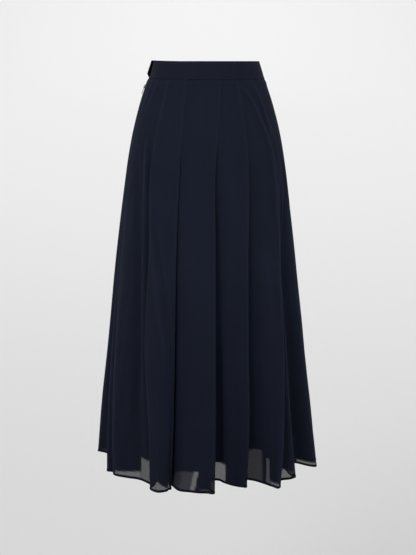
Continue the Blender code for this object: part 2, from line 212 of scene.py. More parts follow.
# ---- the worn form -------------------------------------------------------------------------------
@dataclass(frozen=True)
class Level:
    """The garment's half width and its depths to front and back, at one height."""

    z: float
    half_width: float
    front: float
    back: float


LEVELS = (
    Level(0.000, 0.1162, 0.087, 0.087),
    Level(-0.040, 0.1279, 0.096, 0.096),
    Level(-0.100, 0.1476, 0.108, 0.110),
    Level(-0.160, 0.1628, 0.119, 0.122),
    Level(-0.220, 0.1736, 0.129, 0.132),
    Level(-0.300, 0.1850, 0.141, 0.143),
    Level(-0.420, 0.1998, 0.159, 0.161),
    Level(-0.540, 0.2132, 0.178, 0.179),
    Level(-0.660, 0.2262, 0.197, 0.197),
    Level(-0.780, 0.2396, 0.216, 0.215),
    Level(-0.905, 0.2529, 0.235, 0.233),
)


@lru_cache(maxsize=None)
def form_at(z: float, half: Half) -> Pair:
    """The garment's size at a height.

    Args:
        z: The height.
        half: Front or back.

    Returns:
        Half its width, and its depth to that half's side.
    """
    heights = [level.z for level in LEVELS]
    depths = [level.front if half is Half.FRONT else level.back for level in LEVELS]
    return on_curve(heights, [level.half_width for level in LEVELS], z), on_curve(heights, depths, z)


def place(z: float, half: Half, angle: float, out: float, lift: float = 0.0) -> Vector:
    """A point of the garment.

    Args:
        z: Height of the form's section.
        half: Front or back.
        angle: Radians from the half's centre, positive towards +X.
        out: Metres outwards from the form.
        lift: Metres upwards.

    Returns:
        The point.
    """
    width, depth = form_at(z, half)
    return Vector(
        ((width + out) * math.sin(angle), half.value * (depth + out) * math.cos(angle), z + lift)
    )


def arc_per_radian(z: float, half: Half, angle: float) -> float:
    """Metres of the form's section for each radian, at an angle."""
    width, depth = form_at(z, half)
    return math.hypot(width * math.cos(angle), depth * math.sin(angle))


def at_seam(angle: float, radius: float) -> float:
    """1 at a side seam, falling to nothing within some millimetres."""
    return bell((math.pi / 2 - abs(angle)) * radius / SEAM_REACH)


def closed_row(points: list[Vector]) -> list[tuple[float, ...]]:
    """A row of a half's points, with its two ends brought together with the other half's."""
    points[0].y = points[-1].y = 0.0
    return [tuple(point) for point in points]


def hitch(z: float, off_deg: float) -> Pair:
    """How the cloth is drawn in and up at the waist, most of all at the left side, where it closes.

    Args:
        z: The height.
        off_deg: Degrees from the side seam at -X.

    Returns:
        Metres inwards and metres upwards.
    """
    near = max(0.0, 1 - off_deg / HITCH_REACH)
    drawn = between(((-0.090, 0.0), (-0.055, 0.0010), (-0.042, 0.0026), (-0.020, 0.0018), (0.0, 0.0008)), z)
    foot = between(((-0.110, 0.0), (-0.040, 0.0025 + 0.0032 * near), (0.0, 0.0007 + 0.0018 * near)), z)
    return drawn * smooth((DRAWN_IN_TO - off_deg) / DRAWN_IN_FADE), foot


def opened(z: float) -> float:
    """How far the pleats have opened: 0 down to the hip, 1 at the hem."""
    return max(0.0, (RELEASE - z) / (RELEASE - HEM)) ** OPENING_POWER


# ---- pleats --------------------------------------------------------------------------------------
@dataclass(frozen=True)
class Fold:
    """A pleat's edge down the skirt, and its hidden crease at the hem.

    edge_deg holds the edge's angle at each of FOLD_HEIGHTS. edge_out is how far it stands out at the
    hem, in mm. tuck is the crease's angle, mm outwards and mm up at the hem.
    """

    name: str
    over: Over
    edge_deg: tuple[float, ...]
    edge_out: float
    tuck: Triple

    def angle(self, z: float) -> float:
        """The edge's angle at a height, in radians."""
        return math.radians(on_curve(FOLD_HEIGHTS, self.edge_deg, z))

    @property
    def hem_angle(self) -> float:
        """The edge's angle at the hem, in radians."""
        return math.radians(self.edge_deg[-1])


@dataclass(frozen=True)
class Line:
    """A line down a panel: its share of the width when pressed, and its end at the hem.

    out and lift are in mm at the hem. With late above 1 the line leaves its pressed place mostly near
    the hem.
    """

    top_share: float
    hem_deg: float
    out: float
    lift: float = 0.0
    late: float = 1.0


@dataclass(frozen=True)
class Crease:
    """A soft ridge, or a trough where rise is negative, on the outer cloth.

    path holds pairs of height and degrees, the highest first; width and rise are in mm. The smaller
    ends is, the sooner the crease reaches its full rise.
    """

    name: str
    path: tuple[Pair, ...]
    width: float
    rise: float
    ends: float = 0.7

    def out(self, z: float, degrees: float, arc: float) -> float:
        """How far it lifts the cloth at a place.

        Args:
            z: The height.
            degrees: The angle.
            arc: Metres of cloth for each radian.

        Returns:
            Metres outwards.
        """
        top, foot = self.path[0][0], self.path[-1][0]
        if not foot < z < top:
            return 0.0
        fade = math.sin(math.pi * (top - z) / (top - foot)) ** self.ends
        rising = tuple(sorted(self.path))
        off = math.radians(degrees - float(np.interp(z, *zip(*rising)))) * arc / (self.width * MM)
        return self.rise * MM * fade * bell(off)


@dataclass(frozen=True)
class Window:
    """A place above the hem with no lining behind it, where the cloth lets light through.

    It lies on one panel, counted from -X. Its top runs from one height to the other between its two
    sides. cover is the share of the light that one face of the cloth stops there. soft_deg and soft_top
    are over how far its sides and its top fade. lean is how many degrees further towards +X its sides
    stand lean_height above the hem.
    """

    panel: int
    from_deg: float
    to_deg: float
    tops: Pair
    cover: float
    soft_deg: float = 0.5
    lean: float = 0.0
    soft_top: float = 0.004
    lean_height: float = 0.050

    def weight(self, z: float, degrees: float) -> float:
        """How far a place lies inside.

        Args:
            z: The height.
            degrees: The angle.

        Returns:
            From 0 outside to 1 well inside.
        """
        degrees -= self.lean * (z - HEM) / self.lean_height
        from_left, from_right = degrees - self.from_deg, self.to_deg - degrees
        across = from_left / (self.to_deg - self.from_deg)
        top = mix(*self.tops, min(1.0, max(0.0, across)))
        sides = smooth(from_left / self.soft_deg) * smooth(from_right / self.soft_deg)
        return sides * smooth((top - z) / self.soft_top)


@dataclass(frozen=True)
class PleatPlan:
    """One half of the skirt: its folds, and the panels between them."""

    half: Half
    folds: tuple[Fold, ...]
    panels: tuple[tuple[Line, ...], ...]
    left_seam: Line
    right_seam: Line
    creases: tuple[Crease, ...]
    windows: tuple[Window, ...]


LEFT_SEAM = Line(0, -90, -3, 14)
RIGHT_SEAM = Line(1, 90, -1.5, 1)
SIDE_FULLNESS = (
    Crease("right_hip_fullness", ((0.01, 90), (-0.32, 90)), 45, 2),
    Crease("left_skirt_fullness", ((-0.2, -90), (-0.98, -90)), 40, 1.8),
)

FRONT = PleatPlan(
    Half.FRONT,
    (
        Fold("outer_left", Over.RIGHT, (-66, -78, -78.5, -76.5, -72.5, -66.4), -8, (-60, -48, 8)),
        Fold("left", Over.RIGHT, (-39.7, -42.8, -38.9, -38.2, -32.5, -29.6), -7, (-26, -34, 14)),
        Fold("middle_left", Over.LEFT, (-16.7, -18.4, -18.7, -18.1, -17.8, -18.2), -10, (-26, -66, 14)),
        Fold("middle_right", Over.LEFT, (14.9, 7, 6.2, 5.6, 5.1, 4.4), 3, (-4.8, -60, 8)),
        Fold("right", Over.LEFT, (32.7, 32, 28.5, 26.5, 25.3, 22.9), -20, (17.8, -76, 3)),
        Fold("outer_right", Over.LEFT, (51, 72, 56.5, 54.8, 53.9, 54.8), -6, (50, -50, 24)),
    ),
    (
        (Line(0.35, -84.5, -24, 16), Line(0.7, -77, -38, 14)),
        (
            Line(0.12, -62.7, -16), Line(0.3, -58.3, -11), Line(0.5, -51.5, -19),
            Line(0.7, -44.7, -31), Line(0.82, -39.4, -33), Line(0.92, -34.5, -27), Line(0.98, -31, -26),
        ),
        (Line(0.25, -26.6, 7), Line(0.5, -23.1, 13), Line(0.75, -20.4, 5)),
        (
            Line(0.06, -21.5, -42, 2, 1.6), Line(0.15, -17.4, -24, 1, 2), Line(0.3, -14, -12, 0, 2),
            Line(0.5, -9.1, -7), Line(0.75, -2.6, -3),
        ),
        (
            Line(0.06, 7.5, -58, 8), Line(0.2, 10, -48, 7), Line(0.36, 13, -42, 4),
            Line(0.56, 16.4, -38), Line(0.8, 19.8, -26),
        ),
        (
            Line(0.08, 28, -58, 2), Line(0.2, 31.4, -48, 1), Line(0.4, 33.7, -24),
            Line(0.88, 36, 17, 0, 2.2), Line(0.91, 39.3, -2, 0, 2.2), Line(0.94, 44.2, -18, 0, 2),
            Line(0.97, 49.8, -9, 0, 1.6),
        ),
        (
            Line(0.12, 60, -46, 12), Line(0.25, 68.5, -36, 11), Line(0.35, 70.6, -17, 6),
            Line(0.5, 73.8, 6), Line(0.7, 81, 3.2),
        ),
    ),
    LEFT_SEAM,
    RIGHT_SEAM,
    (
        *SIDE_FULLNESS,
        Crease(
            "left_slant",
            ((-0.3, -43), (-0.367, -38.5), (-0.46, -31.5), (-0.56, -25), (-0.64, -21.5)),
            8, 4.4, 0.4,
        ),
        Crease("left_valley", ((-0.34, -35.5), (-0.42, -29.5), (-0.5, -24.5), (-0.6, -20.5)), 6, -2.8, 0.5),
        Crease(
            "left_hip_ridge",
            ((-0.16, -51), (-0.293, -47.3), (-0.42, -45), (-0.56, -41.8), (-0.62, -41)),
            4.5, 6, 0.5,
        ),
        Crease(
            "left_edge_valley",
            (
                (-0.19, -44.9), (-0.24, -44.3), (-0.293, -42.9), (-0.4, -41.2),
                (-0.5, -40.8), (-0.62, -40), (-0.86, -33.5),
            ),
            4.5, -7, 0.5,
        ),
        Crease(
            "left_trough",
            ((-0.19, -61), (-0.3, -55.5), (-0.42, -51.5), (-0.6, -48), (-0.85, -45)),
            13, -9,
        ),
        Crease("middle_trough", ((-0.19, 8.5), (-0.3, 8), (-0.5, 7.5)), 5, -2, 0.5),
        Crease("right_trough", ((-0.21, 35.5), (-0.34, 34), (-0.52, 32), (-0.62, 31)), 12, -3.5),
        Crease(
            "right_streak",
            ((-0.044, 30), (-0.081, 44.5), (-0.124, 49.5), (-0.177, 56.5), (-0.24, 57.5)),
            5.5, 4.2, 0.4,
        ),
        Crease("right_streak_high", ((-0.046, 54), (-0.081, 56), (-0.124, 57.5), (-0.17, 62)), 4, 3, 0.5),
        Crease(
            "right_ridge",
            (
                (-0.19, 56.5), (-0.264, 57), (-0.307, 55.2), (-0.373, 54.3),
                (-0.439, 52.8), (-0.505, 50.4), (-0.64, 47.8), (-0.775, 44.3),
            ),
            4, 2.6, 0.4,
        ),
        Crease(
            "right_side_trough",
            (
                (-0.25, 66), (-0.373, 60.5), (-0.439, 59.8), (-0.505, 58.6),
                (-0.64, 56.8), (-0.775, 56), (-0.88, 57.5),
            ),
            7, -8, 0.5,
        ),
        Crease("waist_left_pull", ((-0.042, -52), (-0.07, -55), (-0.11, -60)), 5, 1.2),
        Crease("waist_right_pull", ((-0.042, 30), (-0.075, 33), (-0.13, 37)), 5, 1),
        Crease("centre_soft", ((-0.3, -4), (-0.55, -5), (-0.85, -6)), 16, 1.5),
    ),
    (
        Window(0, -88, -70, (-0.893, -0.893), 0.86),
        Window(1, -57.5, -41, (-0.893, -0.884), 0.59),
        Window(1, -41.5, -28, (-0.852, -0.853), 0.65),
        Window(2, -28, -23.4, (-0.903, -0.8775), 0.61),
        Window(2, -23.7, -17.8, (-0.8785, -0.9015), 0.61),
        Window(3, -19.4, -13, (-0.866, -0.859), 0.87, 2.4, 2.3),
        Window(3, -16, -5.2, (-0.8595, -0.859), 0.8, 3, 2.3),
        Window(3, -8.5, -5.2, (-0.8585, -0.8565), 0.6, 0.7, 2.4),
        Window(3, -3.5, 3.5, (-0.895, -0.895), 0.8),
        Window(4, 2, 12.1, (-0.859, -0.86), 0.6),
        Window(5, 22, 33.75, (-0.838, -0.83), 0.82, 0.6, 0.55),
        Window(5, 33.9, 34.6, (-0.843, -0.846), 0.75, 0.1, 0.9),
        Window(5, 34.6, 37.9, (-0.8935, -0.893), 0.6, 0.2),
        Window(5, 44, 47.6, (-0.8805, -0.878), 0.59, 0.3),
        Window(5, 47.2, 57, (-0.878, -0.901), 0.59, 0.3),
        Window(6, 68.5, 88, (-0.893, -0.893), 0.57),
    ),
)

BACK = PleatPlan(
    Half.BACK,
    (
        Fold("back_outer_left", Over.RIGHT, (-64, -76, -72, -69, -66, -64), -8, (-57, -46, 5)),
        Fold("back_left", Over.RIGHT, (-38, -44, -41, -38.5, -36, -34), -4, (-28, -44, 3)),
        Fold("back_middle_left", Over.RIGHT, (-13, -13.5, -13, -12.5, -12, -11.5), 0, (-3.5, -52, 4)),
        Fold("back_middle_right", Over.LEFT, (12, 12.5, 12.5, 12.5, 13, 13.5), 3, (5, -58, 5)),
        Fold("back_right", Over.LEFT, (37, 42, 39, 36.5, 34.5, 33), -8, (26, -54, 4)),
        Fold("back_outer_right", Over.LEFT, (62, 74, 70, 66, 63, 62), -6, (55, -46, 6)),
    ),
    (
        (Line(0.35, -84, 0, 8), Line(0.7, -75, -14, 8), Line(0.85, -68, -34, 7)),
        (
            Line(0.25, -57, 5), Line(0.5, -50, 4), Line(0.75, -43, -10, 2),
            Line(0.92, -37, -26, 4),
        ),
        (
            Line(0.25, -29, 7), Line(0.5, -23, 6), Line(0.75, -17, -14, 2),
            Line(0.93, -13, -34, 4),
        ),
        (Line(0.3, -5, 6), Line(0.6, 2, 4), Line(0.8, 8, 5)),
        (Line(0.08, 15.5, -46, 5), Line(0.3, 20, -22, 2), Line(0.55, 25, -2), Line(0.8, 29, 3)),
        (
            Line(0.08, 36, -42, 5), Line(0.3, 41, -16, 2), Line(0.5, 47, 6),
            Line(0.7, 53, 4), Line(0.87, 58, -4),
        ),
        (Line(0.15, 66, -38, 8), Line(0.45, 73, -16, 5), Line(0.75, 82, 3)),
    ),
    LEFT_SEAM,
    RIGHT_SEAM,
    (
        *SIDE_FULLNESS,
        Crease("back_left_slant", ((-0.26, -40), (-0.36, -35), (-0.47, -30)), 6, 2.2),
        Crease("back_left_valley", ((-0.29, -36), (-0.39, -31), (-0.5, -26)), 8, -2.2),
        Crease("back_left_ridge", ((-0.17, -51), (-0.33, -48), (-0.56, -44)), 5, 3.2),
        Crease(
            "back_left_edge_valley",
            ((-0.2, -47.5), (-0.32, -45), (-0.5, -42), (-0.76, -38)),
            5, -3.6, 0.5,
        ),
        Crease("back_right_streak", ((-0.05, 43), (-0.15, 50), (-0.225, 60)), 4.5, 2.2, 0.5),
        Crease("back_right_streak_high", ((-0.06, 52), (-0.14, 64), (-0.23, 73)), 4.5, 2, 0.5),
        Crease("back_right_ridge", ((-0.32, 52), (-0.54, 50), (-0.8, 49)), 8, 2.4),
        Crease("back_side_trough", ((-0.22, 78), (-0.42, 76), (-0.76, 72)), 9, -5),
        Crease("back_centre_soft", ((-0.33, 2), (-0.6, 1), (-0.86, 1)), 15, 1.6),
        Crease("back_waist_pull", ((-0.042, -48), (-0.075, -52), (-0.12, -57)), 5, 1.2),
    ),
    (
        Window(0, -88, -72, (-0.893, -0.888), 0.62),
        Window(1, -55, -43, (-0.874, -0.866), 0.62),
        Window(1, -43.5, -36.5, (-0.885, -0.89), 0.68),
        Window(2, -26.5, -16, (-0.87, -0.862), 0.62),
        Window(3, -3, 3.5, (-0.88, -0.874), 0.68),
        Window(4, 15.5, 24, (-0.862, -0.868), 0.62),
        Window(5, 35.5, 47, (-0.86, -0.872), 0.62),
        Window(5, 46.5, 53, (-0.889, -0.891), 0.62),
        Window(6, 64, 88, (-0.886, -0.893), 0.6),
    ),
)


# ---- finishes ------------------------------------------------------------------------------------
NOISE_MIDDLE = (0.3, 0.7)  # where most of a noise's values lie
WAVE_PERIOD = 2 * math.pi / 20  # what a wave texture's scale is divided by for a period of 1 m
THREAD_WAVER = {"Distortion": 0.6, "Detail": 1.0, "Detail Scale": 0.3}
SLUB_SCALE = (420.0, 60.0, 1.0)
# painted shade: between these heights the outer cloth's colour is painted darker towards the hem
HEM_SHADE_HEIGHTS = (-0.45, -0.82)  # heights between which the outer cloth comes away from the lining
SHEEN_TINT = (0.45, 0.55, 0.85, 1.0)


class NodeBench:
    """Lays out the nodes of one material."""

    def __init__(self, name: str) -> None:
        """Starts a material with a plain Principled shader.

        Args:
            name: The material's name.
        """
        self.material = bpy.data.materials.new(name)
        self.material.use_nodes = True
        self.nodes = self.material.node_tree.nodes
        self.links = self.material.node_tree.links
        self.shader = self.nodes["Principled BSDF"]

    def put(self, target: Socket, value: object) -> None:
        """Gives an input a value, or links it to another node.

        Args:
            target: The input.
            value: The value, or an output socket.
        """
        if isinstance(value, Socket):
            self.links.new(value, target)
        else:
            target.default_value = value

    def add(self, kind: str, inputs: dict | None = None, **settings: object) -> bpy.types.Node:
        """Adds a node.

        Args:
            kind: The node's type, without its ShaderNode prefix.
            inputs: Values or output sockets, by the name or number of the input.
            settings: Attributes of the node.

        Returns:
            The node.
        """
        node = self.nodes.new("ShaderNode" + kind)
        for key, value in settings.items():
            setattr(node, key, value)
        for key, value in (inputs or {}).items():
            self.put(node.inputs[key], value)
        return node

    def math(self, operation: str, *values: object) -> Socket:
        """The result of a Math node on the given values or sockets."""
        return self.add("Math", dict(enumerate(values)), operation=operation).outputs[0]

    def body(self) -> Socket:
        """The place on the piece, in metres."""
        return self.add("TexCoord").outputs["Object"]

    def held(self, name: str) -> Socket:
        """The value of an attribute of the mesh."""
        return self.add("Attribute", attribute_name=name).outputs["Fac"]

    def noise(self, vector: Socket, scale: float, detail: float) -> Socket:
        """A noise's value."""
        return self.add("TexNoise", {"Vector": vector, "Scale": scale, "Detail": detail}).outputs["Fac"]

    def bump(self, height: Socket, strength: float, distance: float) -> Socket:
        """The normal of a surface with a fine relief."""
        return self.add("Bump", {"Height": height, "Strength": strength, "Distance": distance}).outputs[0]

    def spread(self, value: Socket, known: Pair, wanted: Pair) -> Socket:
        """Spreads one range of a value over another.

        Args:
            value: The value.
            known: The two ends of its range.
            wanted: What they become.

        Returns:
            The new value, level beyond the ends.
        """
        ends = zip(("From Min", "From Max", "To Min", "To Max"), (*known, *wanted))
        return self.add("MapRange", {"Value": value, **dict(ends)}).outputs[0]

    def ramp(self, noise: Socket, low: float, high: float) -> Socket:
        """A noise's middle range spread from low to high."""
        return self.spread(noise, NOISE_MIDDLE, (low, high))

    def tinted(self, colour: Rgb, share: Socket) -> Socket:
        """A colour made lighter or darker by a factor."""
        return self.add("VectorMath", {0: colour, "Scale": share}, operation="SCALE").outputs[0]

    def feed(self, **values: object) -> None:
        """Sets or links the shader's inputs.

        Args:
            values: Values or output sockets, by the input's name with underscores for spaces.
        """
        for key, value in values.items():
            self.put(self.shader.inputs[key.replace("_", " ")], value)


@dataclass(frozen=True)
class ClothFinish:
    """A woven cloth.

    pitch is the distance between threads and relief their height, in metres. pebble is the height of
    the crepe grain. mottle is how far the colour varies. A sheer cloth takes its cover, the share of
    the light that one face stops, from the piece's own "cover" attribute. Its colour is painted
    darker towards the hem, as painted shade where it hangs clear of the lining: hem_painted_shade
    holds the colour's factor at the hip and at the hem. The "painted_fold_shading" attribute is
    painted highlight and painted shade: the share by which the colour is lighter on ridges and darker
    in hollows.
    """

    name: str
    slot: str
    colour: Rgb
    roughness: float
    specular: float
    sheen: float
    pitch: float
    relief: float
    pebble: float
    mottle: float
    sheer: bool = False
    hem_painted_shade: Pair = (1.0, 1.0)

    def material(self) -> bpy.types.Material:
        """Builds the cloth's material.

        Returns:
            The material, with its threads, crepe grain, slubs and uneven dye.
        """
        bench = NodeBench(self.name)
        cloth = bench.add("UVMap", uv_map="cloth").outputs[0]
        laid = {"Vector": cloth, "Scale": WAVE_PERIOD / self.pitch, **THREAD_WAVER}
        threads = [bench.add("TexWave", laid, bands_direction=way).outputs["Fac"] for way in ("X", "Y")]
        weave = bench.math("MULTIPLY", bench.math("ADD", *threads), self.relief / 2)
        grain = bench.noise(cloth, scale=650.0, detail=2.0)
        height = bench.math("MULTIPLY_ADD", grain, self.pebble, weave)
        body = bench.body()
        cloud = bench.noise(body, scale=11.0, detail=4.0)
        stretched = bench.add("Mapping", {"Vector": cloth, "Scale": SLUB_SCALE}).outputs[0]
        slub = bench.noise(stretched, scale=5.0, detail=2.0)
        uneven = (bench.ramp(noise, 1 - self.mottle, 1 + self.mottle) for noise in (cloud, slub))
        low = bench.add("SeparateXYZ", {"Vector": body}).outputs["Z"]
        mottle_and_painted_shade = bench.math("MULTIPLY", *uneven)
        # painted shade: the colour is painted darker towards the hem
        mottle_and_painted_shade = bench.math("MULTIPLY", mottle_and_painted_shade, bench.spread(low, HEM_SHADE_HEIGHTS, self.hem_painted_shade))
        # painted highlight on ridges and painted shade in hollows, taken from the mesh's fold attribute
        mottle_and_painted_shade = bench.math("MULTIPLY", mottle_and_painted_shade, bench.math("ADD", bench.held("painted_fold_shading"), 1.0))
        bench.feed(
            Base_Color=bench.tinted(self.colour, mottle_and_painted_shade),
            Roughness=bench.ramp(grain, self.roughness - 0.05, self.roughness + 0.05),
            Specular_IOR_Level=self.specular,
            Sheen_Weight=self.sheen,
            Sheen_Roughness=0.5,
            Sheen_Tint=SHEEN_TINT,
            Normal=bench.bump(height, strength=1.0, distance=1.0),
        )
        if self.sheer:
            bench.feed(Alpha=bench.held("cover"))
        return bench.material


@dataclass(frozen=True)
class ThreadFinish:
    """Twisted sewing thread."""

    name: str
    slot: str
    colour: Rgb
    roughness: float
    twist: float

    def material(self) -> bpy.types.Material:
        """Builds the thread's material.

        Returns:
            The material, with the twist of its plies.
        """
        bench = NodeBench(self.name)
        turned = bench.add("Mapping", {"Vector": bench.body(), "Rotation": (0.6, 0.5, 0.4)}).outputs[0]
        ply = bench.add("TexWave", {"Vector": turned, "Scale": WAVE_PERIOD / self.twist}).outputs["Fac"]
        bench.feed(
            Base_Color=bench.tinted(self.colour, bench.ramp(ply, 0.8, 1.2)),
            Roughness=self.roughness,
            Specular_IOR_Level=0.2,
            Sheen_Weight=0.1,
            Normal=bench.bump(ply, strength=0.5, distance=0.00005),
        )
        return bench.material


@dataclass(frozen=True)
class EnamelFinish:
    """Enamelled metal with a faint orange-peel and rubbed patches."""

    name: str
    slot: str
    colour: Rgb
    roughness: float
    specular: float

    def material(self) -> bpy.types.Material:
        """Builds the enamel's material.

        Returns:
            The material, with its orange-peel and its rubbed patches.
        """
        bench = NodeBench(self.name)
        body = bench.body()
        peel = bench.noise(body, scale=1400.0, detail=2.0)
        rub = bench.noise(body, scale=260.0, detail=5.0)
        bench.feed(
            Base_Color=bench.tinted(self.colour, bench.ramp(rub, 0.85, 1.25)),
            Roughness=bench.ramp(rub, self.roughness - 0.08, self.roughness + 0.1),
            Specular_IOR_Level=self.specular,
            Normal=bench.bump(peel, strength=0.25, distance=0.0001),
        )
        return bench.material


# the chiffon's last pair paints its colour darker towards the hem, as painted shade
CHIFFON = ClothFinish(
    "navy_chiffon", "chiffon", (0.0068, 0.0090, 0.0172), 0.85, 0.05, 0.02,
    pitch=0.00055, relief=0.00005, pebble=0.00006, mottle=0.07, sheer=True, hem_painted_shade=(1.13, 0.87),
)
ROLLED_EDGE = ClothFinish(
    "navy_chiffon_rolled", "chiffon", (0.0040, 0.0054, 0.0105), 0.85, 0.05, 0.01,
    pitch=0.00055, relief=0.00005, pebble=0.00005, mottle=0.06,
)
BAND_CLOTH = ClothFinish(
    "navy_band_cloth", "band_cloth", (0.0072, 0.0092, 0.0172), 0.80, 0.06, 0.02,
    pitch=0.00070, relief=0.00006, pebble=0.00004, mottle=0.05,
)
LINING_CLOTH = ClothFinish(
    "navy_lining_cloth", "lining_cloth", (0.0055, 0.0070, 0.0130), 0.55, 0.12, 0.01,
    pitch=0.00040, relief=0.00002, pebble=0.00001, mottle=0.04,
)
BAND_THREAD = ThreadFinish("navy_band_thread", "band_cloth", (0.012, 0.014, 0.024), 0.6, 0.00035)
CHIFFON_THREAD = ThreadFinish("navy_chiffon_thread", "chiffon", (0.010, 0.012, 0.021), 0.6, 0.00030)
LINING_THREAD = ThreadFinish("navy_lining_thread", "lining_cloth", (0.010, 0.012, 0.020), 0.6, 0.00030)
ZIP_ENAMEL = EnamelFinish("navy_zip_enamel", "zip_enamel", (0.004, 0.005, 0.009), 0.70, 0.04)
Finish = ClothFinish | ThreadFinish | EnamelFinish


# ---- making pieces -------------------------------------------------------------------------------
def deselect() -> None:
    """Leaves nothing selected and nothing active."""
    for thing in bpy.context.selected_objects:
        thing.select_set(False)
    bpy.context.view_layer.objects.active = None


def only(thing: Piece) -> None:
    """Makes a piece the only selected one, and active.

    Args:
        thing: The piece.
    """
    deselect()
    thing.select_set(True)
    bpy.context.view_layer.objects.active = thing


@contextmanager
def editing(thing: Piece) -> Iterator[None]:
    """Opens a piece for editing with all of it selected, and closes it afterwards.

    Args:
        thing: The piece.

    Returns:
        What a with statement runs its lines in.
    """
    only(thing)
    bpy.ops.object.mode_set(mode="EDIT")
    bpy.ops.mesh.select_all(action="SELECT")
    yield
    bpy.ops.object.mode_set(mode="OBJECT")


def apply_modifiers(thing: Piece) -> None:
    """Applies every modifier of a piece, in order.

    Args:
        thing: The piece.
    """
    only(thing)
    for step in list(thing.modifiers):
        bpy.ops.object.modifier_apply(modifier=step.name)


def paint(thing: Piece, finish: Finish) -> None:
    """Gives a piece the material of a finish, made at its first use."""
    thing.data.materials.clear()
    thing.data.materials.append(bpy.data.materials.get(finish.name) or finish.material())


def dress(thing: Piece, finish: Finish, body: str = "skirt") -> Piece:
    """Gives a piece its finish and the body it rides on, and logs it.

    Args:
        thing: The piece.
        finish: Its finish.
        body: The CAD body that carries it.

    Returns:
        The piece.
    """
    paint(thing, finish)
    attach(thing, body)
    LOG.info("%s: %d faces, %s", thing.name, len(thing.data.polygons), finish.name)
    return thing


def mesh_object(name: str, points: np.ndarray, faces: Iterable[Sequence[int]]) -> Piece:
    """A new object with smooth faces, in the scene's own collection.

    Args:
        name: Its name.
        points: Its points, one a row.
        faces: The numbers of each face's points.

    Returns:
        The object.
    """
    data = bpy.data.meshes.new(name)
    data.from_pydata([tuple(map(float, p)) for p in points], [], [tuple(map(int, f)) for f in faces])
    data.update()
    data.polygons.foreach_set("use_smooth", [True] * len(data.polygons))
    thing = bpy.data.objects.new(name, data)
    bpy.context.scene.collection.objects.link(thing)
    return thing


def quads(*corners: np.ndarray) -> np.ndarray:
    """Four-sided faces, from the numbers of their first, second, third and fourth corners."""
    return np.stack([corner.ravel() for corner in corners], axis=1)


def lay_flat(thing: Piece, flat: np.ndarray) -> None:
    """Gives a piece its "cloth" UV map.

    Args:
        thing: The piece.
        flat: Where each of its points lies on the flat cloth, in metres.
    """
    layer = thing.data.uv_layers.new(name="cloth")
    loops = np.empty(len(thing.data.loops), dtype=np.int64)
    thing.data.loops.foreach_get("vertex_index", loops)
    layer.data.foreach_set("uv", flat.reshape(-1, 2)[loops].ravel())


@dataclass
class Cloth:
    """A grid of points on a cloth: rows from the top down, columns towards +X.

    outwards is 1 where columns turned by a right angle to the right face out, -1 otherwise.
    """

    points: np.ndarray
    outwards: int
    cover: np.ndarray | None = None
    painted_fold_shading: np.ndarray | None = None

    def normals(self) -> np.ndarray:
        """The cloth's normals.

        Returns:
            The way straight out at each point.
        """
        down = np.gradient(self.points, axis=0)
        across = np.gradient(self.points, axis=1)
        return unit(np.cross(down, across)) * self.outwards

    def bends(self, reach: float = 0.004) -> np.ndarray:
        """How the cloth bends across its columns at each point.

        Args:
            reach: The radius, in metres, about which a bend counts as sharp.

        Returns:
            From -1 in a sharp valley to 1 on a sharp ridge.
        """
        step = np.diff(self.points, axis=1)
        length = np.linalg.norm(step, axis=2)
        turn = np.diff(unit(step), axis=1)
        apart = np.maximum((length[:, 1:] + length[:, :-1]) / 2, reach / 10)
        bend = -(turn * self.normals()[:, 1:-1]).sum(axis=2) / apart
        return np.pad(np.tanh(bend * reach), ((0, 0), (1, 1)))

    def flat(self) -> np.ndarray:
        """Lays the cloth flat.

        Returns:
            Where each point then lies, in metres: across from the middle, and up from the top row.
        """
        across = np.linalg.norm(np.diff(self.points, axis=1), axis=2).cumsum(axis=1)
        across = np.pad(across, ((0, 0), (1, 0)))
        middle = across[:, across.shape[1] // 2]
        down = np.linalg.norm(np.diff(self.points, axis=0), axis=2).mean(axis=1).cumsum()
        down = np.pad(down, (1, 0))
        return np.dstack([across - middle[:, None], -down[:, None] + 0 * across])

    def area(self) -> float:
        """The cloth's area.

        Returns:
            Square metres.
        """
        a, b = self.points[:-1, :-1], self.points[:-1, 1:]
        c, d = self.points[1:, 1:], self.points[1:, :-1]
        halves = (np.linalg.norm(np.cross(b - at, d - at), axis=2) for at in (a, c))
        return float(sum(half.sum() for half in halves) / 2)

    def piece(self, name: str, thickness: float) -> Piece:
        """A shell of that thickness, centred on the grid.

        Args:
            name: The piece's name.
            thickness: In metres.

        Returns:
            The piece, with its "cloth" UV map and, where it has them, its "cover" attribute and its
            "painted_fold_shading" attribute of painted highlight and painted shade.
        """
        rows, columns = self.points.shape[:2]
        index = np.arange(rows * columns).reshape(rows, columns)
        faces = quads(index[:-1, :-1], index[1:, :-1], index[1:, 1:], index[:-1, 1:])
        if self.outwards < 0:
            faces = faces[:, ::-1]
        thing = mesh_object(name, self.points.reshape(-1, 3), faces)
        lay_flat(thing, self.flat())
        # the second attribute holds painted highlight on ridges and painted shade in hollows
        for key, values in (("cover", self.cover), ("painted_fold_shading", self.painted_fold_shading)):
            if values is not None:
                held = thing.data.attributes.new(key, "FLOAT", "POINT")
                held.data.foreach_set("value", values.ravel())
        wall = thing.modifiers.new("wall", "SOLIDIFY")
        wall.thickness = thickness
        wall.offset = 0.0
        apply_modifiers(thing)
        return thing


